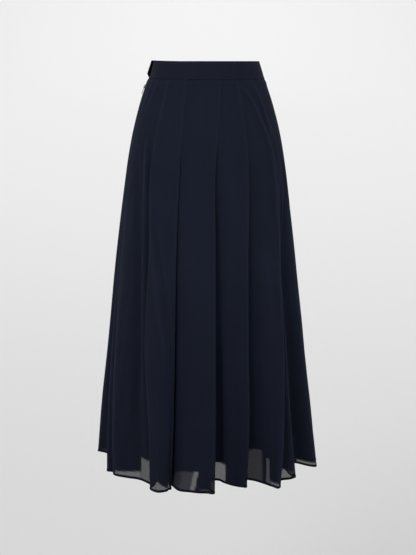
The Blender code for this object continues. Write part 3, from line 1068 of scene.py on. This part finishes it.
def swept(name: str, rings: np.ndarray) -> Piece:
    """A closed piece swept through rings of points, with its ends capped.

    Args:
        name: The piece's name.
        rings: One ring of points for each step along the sweep, each running the same way round.

    Returns:
        The piece, with its "cloth" UV map.
    """
    steps, count = rings.shape[:2]
    index = np.arange(steps * count).reshape(steps, count)
    follow = np.roll(index, -1, axis=1)
    faces = [*quads(index[:-1], index[1:], follow[1:], follow[:-1]), index[0], index[-1][::-1]]
    thing = mesh_object(name, rings.reshape(-1, 3), faces)
    along = np.pad(np.linalg.norm(np.diff(rings, axis=0), axis=2).mean(axis=1).cumsum(), (1, 0))
    around = np.linalg.norm(np.diff(rings, axis=1, append=rings[:, :1]), axis=2).mean(axis=0).cumsum()
    lay_flat(thing, np.dstack(np.broadcast_arrays(along[:, None], around)))
    with editing(thing):
        bpy.ops.mesh.normals_make_consistent(inside=False)
    return thing


class ClothHalf:
    """What the halves of the skirt and of the lining share: a grid of points that becomes a shell."""

    name: str
    node: str
    thickness: float
    finish: ClothFinish

    def grid(self) -> Cloth:
        """The half's points."""
        raise NotImplementedError

    def build(self) -> tuple[Piece, Cloth]:
        """Builds the half.

        Returns:
            The piece, and its grid.
        """
        cloth = self.grid()
        thing = dress(cloth.piece(self.name, self.thickness), self.finish)
        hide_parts(self.node)
        return thing, cloth


# ---- the pleated skirt ---------------------------------------------------------------------------
@dataclass
class PleatedHalf(ClothHalf):
    """The front or back of the outer skirt, in sheer pleated cloth.

    layer_grows holds the heights between which pressed layers part. pressed_ridge is a pressed edge's
    inset, width and rise, and rolls the height, width and rise of each ripple along the band. row_steps
    holds the lower end of each stretch of rows and their number. counts is how many samples lie between
    one leading point and the next, and edges the first and last column of each pleat.
    """

    plan: PleatPlan
    name: str
    node: str
    finish: ClothFinish = CHIFFON
    thickness: float = 0.00030
    top: float = -0.0365
    lined_to: float = -0.858
    sheer_from: float = -0.876
    lined_cover: float = 0.985
    ply_cover: float = 0.63
    spacing: float = 0.0075
    hip: float = -0.150
    hip_spacing: float = 0.0026
    layer_pressed: float = 0.00042
    layer_grows: Pair = (-0.165, -0.240)
    ripple: float = 0.0008
    seam_dip: float = 0.0009
    pressed_ridge: Triple = (0.0045, 0.0035, 0.0009)
    rolls: tuple[Triple, ...] = ((-0.048, 0.004, 0.0006), (-0.041, 0.0025, -0.0007))
    widest_share: float = 0.14
    ridge_spread: float = 0.0013
    ridge_light: Pair = (0.12, 1.15)
    hollow_reach: float = 0.070
    hollow_shade: Pair = (0.08, 0.50)
    row_steps: tuple[tuple[float, int], ...] = ((-0.054, 10), (RELEASE - 0.02, 30), (-0.815, 48), (HEM, 27))
    panel_counts: tuple[int, int] = (2, 10)
    pleat_counts: tuple[int, int] = (3, 9)
    counts: tuple[int, ...] = field(default=(), init=False)
    edges: list[tuple[int, int]] = field(default_factory=list, init=False)

    def layer(self, z: float) -> float:
        """The distance between layers, which lie close down to the hip and part below it."""
        first, last = self.layer_grows
        return mix(self.layer_pressed, LAYER, smooth((first - z) / (first - last)))

    def fold_points(self, fold: Fold, z: float) -> list[Spot]:
        """A pleat's round outer edge, and the hidden crease that it returns to.

        Args:
            fold: The pleat.
            z: The height.

        Returns:
            Three points for each of the two, in the order of the cloth towards +X.
        """
        share = opened(z)
        back = fold.over.value
        edge = fold.angle(z)
        arc = arc_per_radian(z, self.plan.half, edge)
        layer = self.layer(z)
        nose = mix(layer, HEM_NOSE, share)
        turn = back * nose / 2 / arc
        edge_out = fold.edge_out * MM * share
        hip_share = min(1.0, (z - BAND_FOOT) / (RELEASE - BAND_FOOT))
        pressed = back * mix(TUCK_AT_BAND, TUCK_AT_HIP, hip_share) / arc
        tuck_deg, tuck_mm, lift_mm = fold.tuck
        tuck = edge + mix(pressed, math.radians(tuck_deg) - fold.hem_angle, share)
        tuck_out = mix(-2 * layer, tuck_mm * MM, share)
        lift = lift_mm * MM * share**LIFT_POWER
        points = [
            (edge + turn, edge_out, 0.0),
            (edge, edge_out - nose / 2, 0.0),
            (edge + turn, edge_out - nose, 0.0),
            (tuck - turn, tuck_out + nose, lift),
            (tuck, tuck_out + nose / 2, lift),
            (tuck - turn, tuck_out, lift),
        ]
        return points if fold.over is Over.LEFT else points[::-1]

    def panel_end(self, fold: Fold, side: Over) -> Line:
        """Where a panel ends at a fold.

        Args:
            fold: The pleat.
            side: The side of the panel that the pleat is on.

        Returns:
            The pleat's edge if the panel lies on top there, else its hidden crease.
        """
        base = 0.0 if side is Over.LEFT else 1.0
        if fold.over is not side:
            return Line(base, fold.edge_deg[-1], fold.edge_out)
        return Line(base + side.value * UNDER_SHARE, *fold.tuck)

    def finer(self, lines: Sequence[Line], start: Line, end: Line) -> list[Line]:
        """Adds a line on a smooth curve between any two that lie far apart.

        Args:
            lines: A panel's lines.
            start: Where the panel starts.
            end: Where it ends.

        Returns:
            The lines, with those added.
        """
        known = [start, *lines, end]
        finer: list[Line] = []
        for before, a, b, after in zip([start, *known], known, known[1:], [*known[2:], end]):
            if a is not start:
                finer.append(a)
            if b.top_share - a.top_share < self.widest_share:
                continue
            hem_deg, out, lift = (
                (9 * (getattr(a, key) + getattr(b, key)) - getattr(before, key) - getattr(after, key)) / 16
                for key in ("hem_deg", "out", "lift")
            )
            finer.append(Line((a.top_share + b.top_share) / 2, hem_deg, out, lift, (a.late + b.late) / 2))
        return finer

    def panel_places(
        self, lines: Sequence[Line], z: float, left: tuple[float, ...], right: tuple[float, ...]
    ) -> list[Spot]:
        """The places of one panel's lines at a height.

        Args:
            lines: The panel's lines.
            z: The height.
            left: The left side's angle now, its angle at the hem and its depth when pressed.
            right: The same of the right side.

        Returns:
            Angle, metres outwards and metres up of each line.
        """
        share = opened(z)
        start, end = (HELD_SHARE, 1.0) if left[2] > right[2] else (0.0, 1.0 - HELD_SHARE)
        places = []
        for line in lines:
            hem_share = (math.radians(line.hem_deg) - left[1]) / (right[1] - left[1])
            late = share**line.late
            across = mix(line.top_share, hem_share, late)
            pressed = mix(left[2], right[2], smooth((line.top_share - start) / (end - start)))
            places.append((
                mix(left[0], right[0], across),
                mix(pressed, line.out * MM, late),
                line.lift * MM * share**LIFT_POWER,
            ))
        return places

    def controls(self, z: float) -> tuple[np.ndarray, np.ndarray]:
        """The points that lead one row of the cloth.

        Args:
            z: The row's height.

        Returns:
            Angle, metres outwards and metres up of each point; and 1 for each on a panel, 0 in a pleat.
        """
        plan = self.plan
        under = -2 * self.layer(z)
        share = opened(z)
        quarter = math.pi / 2
        lefts, rights = [(-quarter, -quarter, 0.0)], []
        starts = [plan.left_seam, *(self.panel_end(fold, Over.LEFT) for fold in plan.folds)]
        ends = [*(self.panel_end(fold, Over.RIGHT) for fold in plan.folds), plan.right_seam]
        for fold in plan.folds:
            angles = (fold.angle(z), fold.hem_angle)
            on_left = fold.over is Over.LEFT
            rights.append((*angles, 0.0 if on_left else under))
            lefts.append((*angles, under if on_left else 0.0))
        rights.append((quarter, quarter, 0.0))
        places, flags = [self.seam_place(plan.left_seam, share)], [1.0]
        for index, lines in enumerate(plan.panels):
            finer = self.finer(lines, starts[index], ends[index])
            places += self.panel_places(finer, z, lefts[index], rights[index])
            flags += [1.0] * len(finer)
            if index < len(plan.folds):
                places += self.fold_points(plan.folds[index], z)
                flags += [0.0] * 6
        places.append(self.seam_place(plan.right_seam, share))
        return np.array(places), np.array([*flags, 1.0])

    def seam_place(self, seam: Line, share: float) -> Spot:
        """Where a side seam lies when the pleats have opened by that share."""
        return math.radians(seam.hem_deg), seam.out * MM * share, seam.lift * MM * share**LIFT_POWER

    def rows(self) -> list[float]:
        """Lays out the cloth's rows, closest together at the band and near the hem.

        Returns:
            Their heights, the highest first.
        """
        heights = [self.top]
        for foot, count in self.row_steps:
            heights += [mix(heights[-1], foot, (k + 1) / count) for k in range(count)]
        return heights

    def plan_counts(self) -> None:
        """Settles counts and edges, by how far the leading points lie apart at the hem and at the hip."""
        lengths = []
        for z in (HEM, self.hip):
            places, flags = self.controls(z)
            spots = np.array([place(z, self.plan.half, *spot) for spot in places])
            lengths.append(np.linalg.norm(np.diff(spots, axis=0), axis=1))
        counts = []
        for index, (at_hem, at_hip) in enumerate(zip(*lengths)):
            wanted = round(at_hem / self.spacing)
            fewest, most = self.pleat_counts
            if flags[index] + flags[index + 1] > 0:
                wanted = max(wanted, round(at_hip / self.hip_spacing))
                fewest, most = self.panel_counts
            counts.append(int(min(most, max(fewest, wanted))))
        self.counts = tuple(counts)
        self.edges = []
        first = 0
        for index in range(len(flags) - 1):
            if flags[index] > flags[index + 1]:
                first = index + 1
            if flags[index] < flags[index + 1]:
                self.edges.append((sum(counts[:first]), sum(counts[:index])))

    def grid(self) -> Cloth:
        """Lays the cloth's points, row by row.

        Returns:
            The cloth, with its cover and its painted highlight and painted shade on the folds.
        """
        self.plan_counts()
        run = Run(self.counts)
        half = self.plan.half
        rows, covers = [], []
        stretch, share_along = run.samples()
        for z in self.rows():
            places, flags = self.controls(z)
            width, depth = form_at(z, half)
            radius = (width + depth) / 2
            fine = run.through(places * (radius, 1.0, 1.0)) / (radius, 1.0, 1.0)
            panel = flags[stretch] + (flags[stretch + 1] - flags[stretch]) * share_along
            number = np.cumsum(np.diff(flags, prepend=1.0) < 0)[stretch]
            row = []
            for (angle, out, lift), outer in zip(fine, panel):
                drawn, raised = hitch(z, 90 + math.degrees(angle))
                out += self.relief(z, angle, radius, outer) - drawn
                row.append(place(z, half, angle, out, lift + raised))
            rows.append(closed_row(row))
            covers.append([self.cover_at(z, *spot) for spot in zip(np.degrees(fine[:, 0]), panel, number)])
        cloth = Cloth(np.array(rows), -half.value, np.array(covers))
        # painted highlight on the ridges and painted shade in the hollows of the folds
        cloth.painted_fold_shading = self.painted_fold_shading(cloth)
        return cloth

    def painted_fold_shading(self, cloth: Cloth) -> np.ndarray:
        """Painted highlight and painted shade where the cloth folds: lighter along its ridges, and darker
        down in its hollows.

        Args:
            cloth: The half's cloth.

        Returns:
            At each point, the share by which its colour rises or falls.
        """
        shares = []
        for row, bends, z in zip(cloth.points, cloth.bends(), self.rows()):
            width, depth = form_at(z, self.plan.half)
            radius = (width + depth) / 2
            along = travelled(row)
            near = np.exp(-(((along[:, None] - along) / self.ridge_spread) ** 2))
            ridge = (near * np.maximum(bends, 0)).max(axis=1)
            x, y = row[:, 0] / width, np.abs(row[:, 1]) / depth
            around, out = np.arctan2(x, y) * radius, (np.hypot(x, y) - 1) * radius
            apart = around - around[:, None]
            slope = (out - out[:, None]) / np.maximum(np.abs(apart), MM)
            slope = np.where(np.abs(apart) < self.hollow_reach, np.maximum(slope, 0), 0)
            sides = [np.where(apart * side > 0, slope, 0).max(axis=1) for side in (-1, 1)]
            hollow = sum(np.sin(np.arctan(side)) for side in sides) / 2
            sideways = x**2
            lit, shaded = mix(*self.ridge_light, sideways), mix(*self.hollow_shade, sideways)
            shares.append(ridge * lit - hollow * shaded)
        return np.array(shares)

    def relief(self, z: float, angle: float, radius: float, outer: float) -> float:
        """What creases, the cloth's slight waviness and the side seams add at a place.

        Args:
            z: The height.
            angle: The angle in radians.
            radius: Metres of cloth for each radian.
            outer: 1 on a panel, 0 inside a pleat.

        Returns:
            Metres outwards.
        """
        degrees = math.degrees(angle)
        extra = sum(crease.out(z, degrees, radius) for crease in self.plan.creases)
        extra += sum(rise * bell((z - height) / width) for height, width, rise in self.rolls)
        if z > RELEASE:
            inset, width, rise = self.pressed_ridge
            held = rise * math.sin(math.pi * (z - self.top) / (RELEASE - self.top)) ** 0.5
            for fold in self.plan.folds:
                off = ((fold.angle(z) - angle) * -fold.over.value * radius - inset) / width
                extra += held * bell(off)
        # waves by the radian and by the metre, out of step with one another
        wave = math.sin(angle * 23 + z * 9) * math.sin(z * 13 + angle * 5)
        wave += 0.6 * math.sin(angle * 41 - z * 17 + 1.3)
        extra += self.ripple * wave * (0.25 + opened(z))
        return extra * smooth(outer) - self.seam_dip * at_seam(angle, radius)

    def cover_at(self, z: float, degrees: float, outer: float, number: int) -> float:
        """The share of light that one face of the cloth stops at a place.

        Args:
            z: The height.
            degrees: The angle.
            outer: 1 on a panel, 0 inside a pleat.
            number: The panel's number, from -X.

        Returns:
            Nearly all of it where lining or more layers lie behind, and less in the windows.
        """
        bare = smooth((self.lined_to - z) / (self.lined_to - self.sheer_from))
        inner, panel = (mix(1.0, cover, bare) for cover in (self.ply_cover, self.lined_cover))
        for window in self.plan.windows:
            if window.panel == number:
                panel = mix(panel, window.cover, window.weight(z, degrees))
        return mix(inner, panel, smooth(outer))


HEM_SECTION = (
    (-0.10, 0.0), (0.0, 0.75), (0.25, 1.0), (0.75, 0.95), (0.97, 0.6),
    (1.0, 0.0), (0.97, -0.6), (0.75, -0.95), (0.25, -1.0), (0.0, -0.75),
)  # shares of the hem's depth and of half its thickness
STITCHED_AT = 0.72  # share of the hem's depth


@dataclass(frozen=True)
class RolledHem:
    """A narrow hem rolled twice: a rounded strip along a cloth's lower edge."""

    depth: float
    thickness: float
    finish: ClothFinish
    below: float = 0.0004

    def edge(self, cloth: Cloth) -> tuple[np.ndarray, np.ndarray, np.ndarray]:
        """The cloth's lowest points, with the way up the cloth and the way out of it at each."""
        return cloth.points[-1], unit(cloth.points[-3] - cloth.points[-1]), cloth.normals()[-2]

    def build(self, name: str, cloth: Cloth) -> Piece:
        """Builds the hem of a cloth.

        Args:
            name: The piece's name.
            cloth: The cloth.

        Returns:
            The piece.
        """
        foot, up, out = self.edge(cloth)
        rings = [
            foot + up * (rise * self.depth - self.below) + out * (side * self.thickness / 2)
            for rise, side in HEM_SECTION
        ]
        return dress(swept(name, np.stack(rings, axis=1)), self.finish)

    def stitch_line(self, cloth: Cloth) -> tuple[np.ndarray, np.ndarray]:
        """Points on the hem's outer face, near its upper edge, and the way out at each."""
        foot, up, out = self.edge(cloth)
        return foot + up * STITCHED_AT * self.depth + out * self.thickness / 2, out


# ---- stitches ------------------------------------------------------------------------------------
@dataclass
class Stitching:
    """Runs of stitches in one thread, gathered in one piece."""

    name: str
    finish: ThreadFinish
    length: float = 0.0022
    gap: float = 0.0009
    radius: float = 0.00016
    points: list[np.ndarray] = field(default_factory=list, init=False)
    faces: list[tuple[int, ...]] = field(default_factory=list, init=False)

    def pattern(self) -> tuple[np.ndarray, list[tuple[int, ...]]]:
        """One stitch along X: a small long ball, half sunk in the cloth.

        Returns:
            Its points, and the numbers of each face's points.
        """
        deselect()
        bpy.ops.mesh.primitive_uv_sphere_add(segments=6, ring_count=4, radius=1.0)
        ball = bpy.context.active_object
        with editing(ball):
            bpy.ops.transform.rotate(value=math.pi / 2, orient_axis="Y", center_override=(0.0, 0.0, 0.0))
            bpy.ops.transform.resize(value=(self.length / 2, self.radius, self.radius))
        points = np.array([tuple(vert.co) for vert in ball.data.vertices])
        faces = [tuple(face.vertices) for face in ball.data.polygons]
        bpy.data.objects.remove(ball, do_unlink=True)
        return points, faces

    def run(self, line: np.ndarray, out: np.ndarray) -> None:
        """Adds a run of stitches.

        Args:
            line: Points along the run.
            out: The way out of the cloth at each point.
        """
        shape, faces = self.pattern()
        along = travelled(line)
        step = self.length + self.gap
        for start in np.arange(self.gap / 2, along[-1] - step, step):
            first, last, normal = (
                np.array([np.interp(at, along, column) for column in values.T])
                for at, values in ((start, line), (start + self.length, line), (start, out))
            )
            way = unit(last - first)
            side = unit(np.cross(unit(normal), way))
            turn = np.stack([way, side, np.cross(way, side)])
            base = sum(map(len, self.points))
            self.points.append(shape @ turn + (first + last) / 2)
            self.faces += [tuple(base + k for k in face) for face in faces]

    def build(self) -> Piece:
        """Builds the piece from its runs."""
        return dress(mesh_object(self.name, np.vstack(self.points), self.faces), self.finish)


# ---- the lining ----------------------------------------------------------------------------------
@dataclass
class LiningHalf(ClothHalf):
    """The front or back of the opaque lining."""

    half: Half
    name: str
    node: str
    hems: tuple[Pair, ...]
    finish: ClothFinish = LINING_CLOTH
    thickness: float = 0.00035
    top: float = -0.0405
    top_in: float = 0.0018
    pressed_in: float = 0.0058
    side_in: float = 0.062
    middle_in: float = 0.084
    ripple: float = 0.004
    ripples: int = 5
    columns: int = 132
    rows: int = 64
    leaves_band_by: float = -0.085
    seam_dip: float = 0.0008

    def hem_at(self, angle: float) -> float:
        """The hem's height at an angle in radians."""
        return between(self.hems, math.degrees(angle))

    def point(self, down: float, angle: float) -> Vector:
        """A point of the lining.

        Args:
            down: Its share of the way down.
            angle: Its angle in radians.

        Returns:
            The point.
        """
        z = mix(self.top, self.hem_at(angle), down)
        share = opened(z)
        hem_in = mix(self.side_in, self.middle_in, math.cos(angle) ** 2)
        wave = self.ripple * math.cos(angle) * math.sin(2 * self.ripples * angle)
        leave = smooth((self.top - z) / (self.top - self.leaves_band_by))
        inward = mix(mix(self.top_in, self.pressed_in, leave), hem_in - wave, share)
        width, _ = form_at(z, self.half)
        drawn, raised = hitch(z, 90 + math.degrees(angle))
        inward += drawn + self.seam_dip * at_seam(angle, width)
        return place(z, self.half, angle, -inward, raised)

    def grid(self) -> Cloth:
        """Lays the lining's points, row by row.

        Returns:
            The cloth.
        """
        angles = [math.pi * (k / self.columns - 0.5) for k in range(self.columns + 1)]
        rows = [
            closed_row([self.point(k / self.rows, angle) for angle in angles]) for k in range(self.rows + 1)
        ]
        return Cloth(np.array(rows), -self.half.value)


# ---- the waistband -------------------------------------------------------------------------------
@dataclass
class Waistband:
    """The double waistband, which closes over its own first part with a tab at -X.

    start and end are its angles from the centre front. step_at degrees past its start it begins to step
    out by lap, over its own first part, which is pressed in. tab_angle, tab_rise and tab_flare shape its
    free end. tucked holds where the first part is no longer pressed in, and over how many degrees that
    ends.
    """

    name: str = "waistband_cloth"
    wall: float = 0.0018
    out: float = -0.0005
    lap: float = 0.0022
    start: float = -106.0
    end: float = 276.0
    step_at: float = 348.0
    step: float = 10.0
    tab_angle: float = 19.0
    tab_bend: float = 0.8
    tab_rise: float = 0.0070
    tab_flare: float = 0.0010
    pressed_in: float = 0.0026
    tab_flare_over: float = 9.0
    tucked: Pair = (36.0, 16.0)
    columns: int = 300
    stitch_samples: int = 260
    fullness: float = 0.00025
    flat_levels: int = 9
    foot_round: Pair = (0.6, 0.7)
    edge_turns: tuple[float, ...] = (0.5, 1.05, math.pi / 2, 2.1, 2.64)
    sway: float = 0.12
    end_pinch: Pair = (0.35, 0.8)

    def middle(self, degrees: float, z: float, out: float) -> np.ndarray:
        """A point of the band, measured from its middle.

        Args:
            degrees: The angle from the centre front, towards +X and on round the back.
            z: The height.
            out: Metres outwards from the middle of the band's thickness.

        Returns:
            The point.
        """
        lap = self.lap * smooth((degrees - self.start - self.step_at) / self.step)
        lap += self.tab_flare * smooth((degrees - self.end + self.tab_flare_over) / self.tab_flare_over)
        tucked_to, tucked_over = self.tucked
        lap -= self.pressed_in * smooth((self.start + tucked_to - degrees) / tucked_over)
        rise = smooth((degrees - self.end + self.tab_angle) / (self.tab_bend * self.tab_angle))
        drawn, raised = hitch(z, abs((degrees + 270) % 360 - 180))
        width, depth = form_at(round(z, 6), Half.FRONT)
        reach = self.out + lap + out - drawn
        angle = math.radians(degrees)
        lifted = z * (1 - rise * self.tab_rise / -BAND_FOOT) + raised
        return np.array(((width + reach) * math.sin(angle), -(depth + reach) * math.cos(angle), lifted))

    def section(self) -> list[Pair]:
        """The band's cross-section, up its outer face and down its inner one.

        Returns:
            Pairs of height and metres outwards.
        """
        radius = self.wall / 2
        foot_rise, foot_width = self.foot_round
        faces = []
        for k in range(self.flat_levels):
            z = mix(BAND_FOOT + foot_rise * radius, -radius, k / (self.flat_levels - 1))
            swell = self.fullness * math.sin(math.pi * k / (self.flat_levels - 1))
            faces.append((z, radius + swell))
        top = [(-radius + radius * math.sin(turn), radius * math.cos(turn)) for turn in self.edge_turns]
        inner = [(z, -out) for z, out in reversed(faces)]
        foot = [
            (BAND_FOOT + 0.1 * abs(side) * radius, foot_width * side * radius) for side in (-1, 0, 1)
        ]
        return [*faces, *top, *inner, *foot]

    def build(self) -> Piece:
        """Builds the band.

        Returns:
            The piece.
        """
        section = self.section()
        rings = []
        for k in range(self.columns + 1):
            degrees = mix(self.start, self.end, k / self.columns)
            near_end = min(k, self.columns - k)
            pinch = self.end_pinch[near_end] if near_end < len(self.end_pinch) else 1.0
            angle = math.radians(degrees)
            outer = pinch * (1 + self.sway * math.sin(angle * 17) * math.sin(angle * 5))
            swollen = ((z, out * (outer if out > 0 else pinch)) for z, out in section)
            rings.append([self.middle(degrees, z, out) for z, out in swollen])
        thing = dress(swept(self.name, np.array(rings)), BAND_CLOTH)
        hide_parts("waistband")
        return thing

    def length(self) -> float:
        """The band's length along its middle, half way down."""
        turns = (mix(self.start, self.end, k / 200) for k in range(201))
        return float(travelled(np.array([self.middle(turn, BAND_FOOT / 2, 0.0) for turn in turns]))[-1])

    def line_at(self, z: float, outer: bool, start: float, end: float) -> tuple[np.ndarray, np.ndarray]:
        """A line round the band for stitches.

        Args:
            z: Its height.
            outer: On the outer face, or else on the inner one.
            start: First angle in degrees.
            end: Last angle.

        Returns:
            Points on the face, and the way out of the cloth at each.
        """
        out = self.wall / 2 if outer else -self.wall / 2
        angles = np.linspace(start, end, self.stitch_samples)
        points, inner = (np.array([self.middle(a, z, at) for a in angles]) for at in (out, 0.0))
        return points, unit(points - inner)


# ---- the studio ----------------------------------------------------------------------------------
@dataclass(frozen=True)
class Lamp:
    """A soft square light."""

    name: str
    at: Triple
    towards: Triple
    size: float
    watts: float
    spread: float = 180.0

    def build(self) -> None:
        """Adds the light."""
        data = bpy.data.lights.new(self.name, "AREA")
        data.shape = "SQUARE"
        data.size = self.size
        data.energy = self.watts
        data.spread = math.radians(self.spread)
        lamp = bpy.data.objects.new(self.name, data)
        lamp.location = self.at
        lamp.rotation_euler = (Vector(self.towards) - Vector(self.at)).to_track_quat("-Z", "Y").to_euler()
        bpy.context.scene.collection.objects.link(lamp)


@dataclass(frozen=True)
class Studio:
    """A pale floor that curves up into its walls, soft light and the camera."""

    floor: float = -1.90
    reach: float = 15.0
    wall: float = 5.0
    # painted shade: the floor's grey near its middle and far out, darker near the middle
    floor_painted_shade_grey: Pair = (0.695, 0.90)
    floor_fades: Pair = (1.0, 11.0)
    sky: Rgb = (1.0, 1.0, 1.0)
    sky_strength: float = 0.80
    camera_at: Triple = (0.0048, -2.585, 0.0)
    pitch: float = 10.53
    lens: float = 75.4
    lamps: tuple[Lamp, ...] = (
        Lamp("key_softbox", (-1.35, -3.05, 1.7), (0.0, 0.0, -0.15), 1.3, 10.8, 75.0),
        Lamp("fill_softbox", (2.6, -2.0, 0.9), (0.0, 0.0, -0.35), 1.6, 2.5, 80.0),
        Lamp("wall_light", (0.0, 4.0, 7.0), (0.0, 14.0, -2.0), 5.0, 141.0, 150.0),
        Lamp("halo_light", (0.0, 7.0, 5.0), (0.0, 14.8, 0.7), 1.0, 5.0, 60.0),
    )

    def build_floor(self) -> None:
        """Builds the floor with its walls, as the lower half of a flat bowl."""
        deselect()
        bpy.ops.mesh.primitive_uv_sphere_add(segments=96, ring_count=48, radius=1.0)
        bowl = bpy.context.active_object
        bowl.name = "studio_floor"
        with editing(bowl):
            bpy.ops.mesh.bisect(plane_co=(0, 0, 0), plane_no=(0, 0, 1), clear_outer=True)
            bpy.ops.mesh.select_all(action="SELECT")
            size = (self.reach, self.reach, self.wall)
            bpy.ops.transform.resize(value=size, center_override=(0.0, 0.0, 0.0))
            bpy.ops.transform.translate(value=(0, 0, self.floor + self.wall))
            bpy.ops.mesh.normals_make_consistent(inside=True)
        bpy.ops.object.shade_smooth()
        bench = NodeBench("pale_floor")
        # painted shade: the floor is painted darker towards its middle
        away = bench.add("VectorMath", {0: bench.body()}, operation="LENGTH").outputs["Value"]
        grey = bench.spread(away, self.floor_fades, self.floor_painted_shade_grey)
        bench.feed(Base_Color=bench.tinted((1.0, 1.0, 1.0), grey), Roughness=0.9, Specular_IOR_Level=0.0)
        bowl.data.materials.append(bench.material)

    def build(self) -> None:
        """Builds the floor, the lights and the camera."""
        self.build_floor()
        world = bpy.data.worlds.new("studio_light")
        bpy.context.scene.world = world
        world.use_nodes = True
        sky = world.node_tree.nodes["Background"].inputs
        sky["Color"].default_value = (*self.sky, 1.0)
        sky["Strength"].default_value = self.sky_strength
        for lamp in self.lamps:
            lamp.build()
        data = bpy.data.cameras.new("studio_camera")
        data.lens = self.lens
        camera = bpy.data.objects.new("studio_camera", data)
        camera.location = self.camera_at
        camera.rotation_euler = (math.radians(90.0 - self.pitch), 0.0, 0.0)
        bpy.context.scene.collection.objects.link(camera)
        bpy.context.scene.camera = camera
        bpy.context.scene.view_settings.view_transform = "Standard"


# ---- the garment ---------------------------------------------------------------------------------
FRONT_LINING_HEMS = (
    (-90, -0.88), (-62, -0.88), (-52, -0.866), (-26, -0.866), (-18, -0.882), (-1, -0.882),
    (4, -0.862), (15, -0.862), (24, -0.834), (41, -0.834), (48, -0.868), (58, -0.878), (90, -0.88),
)
BACK_LINING_HEMS = (
    (-90, -0.88), (-60, -0.866), (-40, -0.866), (-14, -0.862), (8, -0.87), (24, -0.862),
    (48, -0.862), (62, -0.88), (90, -0.88),
)


@dataclass
class Garment:
    """The whole skirt, made in the order in which it is sewn."""

    seam_from_edge: float = 0.0018
    outer_seam_up: float = 0.0020
    inner_seam_up: float = 0.0024
    pleats_sewn: Pair = (RELEASE - 0.004, BAND_FOOT - 0.003)
    halves: list[tuple[PleatedHalf, Cloth]] = field(default_factory=list, init=False)

    def pleat_stitches(self) -> Piece:
        """Sews each pleat flat down to the hip, a little way in from its edge.

        Returns:
            The piece of stitches.
        """
        thread = Stitching("pleat_stitches", CHIFFON_THREAD)
        lowest, highest = self.pleats_sewn
        for half, cloth in self.halves:
            rows = [(k, z) for k, z in enumerate(half.rows()) if lowest < z < highest]
            normals = cloth.normals()
            for fold, (first, last) in zip(half.plan.folds, half.edges):
                column, step = (first, -1) if fold.over is Over.LEFT else (last, 1)
                line, out = [], []
                for row, z in rows:
                    at, gone = column, 0.0
                    while gone < self.seam_from_edge + half.layer(z) / 2:
                        gone += float(np.linalg.norm(cloth.points[row, at + step] - cloth.points[row, at]))
                        at += step
                    line.append(cloth.points[row, at] + normals[row, at] * half.thickness / 2)
                    out.append(normals[row, at])
                thread.run(np.array(line), np.array(out))
        return thread.build()

    def sew_band(self) -> Piece:
        """Makes the waistband and its stitches.

        Returns:
            The band.
        """
        band = Waistband()
        band_piece = band.build()
        seams = Stitching("waistband_stitches", BAND_THREAD)
        out_of_lap = band.start + band.step_at + band.step - 360
        seams.run(*band.line_at(BAND_FOOT + self.outer_seam_up, True, out_of_lap, band.end - 2))
        seams.run(*band.line_at(BAND_FOOT + self.inner_seam_up, False, band.start + 14, band.end - 22))
        band_stitches = seams.build()
        round(band.length(), 3)
        return band_piece

    def sew_skirt(self) -> None:
        """Makes the outer skirt with its hems and stitches.
        """
        hem = RolledHem(depth=0.0050, thickness=0.0013, finish=ROLLED_EDGE)
        hem_thread = Stitching("hem_stitches", CHIFFON_THREAD, length=0.0021, gap=0.0009, radius=0.00013)
        sheets = []
        for plan, name, node, flat in (
            (FRONT, "chiffon_front", "skirt_front", (1.38, 0.91)),
            (BACK, "chiffon_back", "skirt_back", (1.35, 0.89)),
        ):
            half = PleatedHalf(plan, name, node)
            thing, cloth = half.build()
            for kind, parts in (("folds", plan.folds), ("creases", plan.creases)):
                LOG.info("%s: %s %s", name, kind, ", ".join(part.name for part in parts))
            edge = hem.build(name + "_hem", cloth)
            hem_thread.run(*hem.stitch_line(cloth))
            self.halves.append((half, cloth))
            sheets.append((thing, cloth, edge, flat))
        self.pleat_stitches()
        hem_thread.build()
        for thing, cloth, edge, flat in sheets:
            round(cloth.area(), 3)

    def sew_lining(self) -> None:
        """Makes the lining with its hems and stitches.
        """
        hem = RolledHem(depth=0.0150, thickness=0.0012, finish=LINING_CLOTH)
        thread = Stitching("lining_stitches", LINING_THREAD, radius=0.00013)
        for half, name, node, hems, flat in (
            (Half.FRONT, "lining_cloth_front", "lining_front", FRONT_LINING_HEMS, (0.60, 0.86)),
            (Half.BACK, "lining_cloth_back", "lining_back", BACK_LINING_HEMS, (0.55, 0.86)),
        ):
            thing, cloth = LiningHalf(half, name, node, hems).build()
            edge = hem.build(name + "_hem", cloth)
            thread.run(*hem.stitch_line(cloth))
            round(cloth.area(), 3)
        thread.build()

    def build(self) -> None:
        band_piece = self.sew_band()
        self.sew_skirt()
        self.sew_lining()
        for node in ("zip_slider", "zip_pull"):
            paint(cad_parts[node], ZIP_ENAMEL)
            LOG.info("%s: %s", node, ZIP_ENAMEL.name)


def main() -> None:
    """Builds the garment and the studio."""
    logging.basicConfig(level=logging.INFO, format="%(name)s: %(message)s")
    Garment().build()
    Studio().build()


if __name__ == "__main__":
    main()
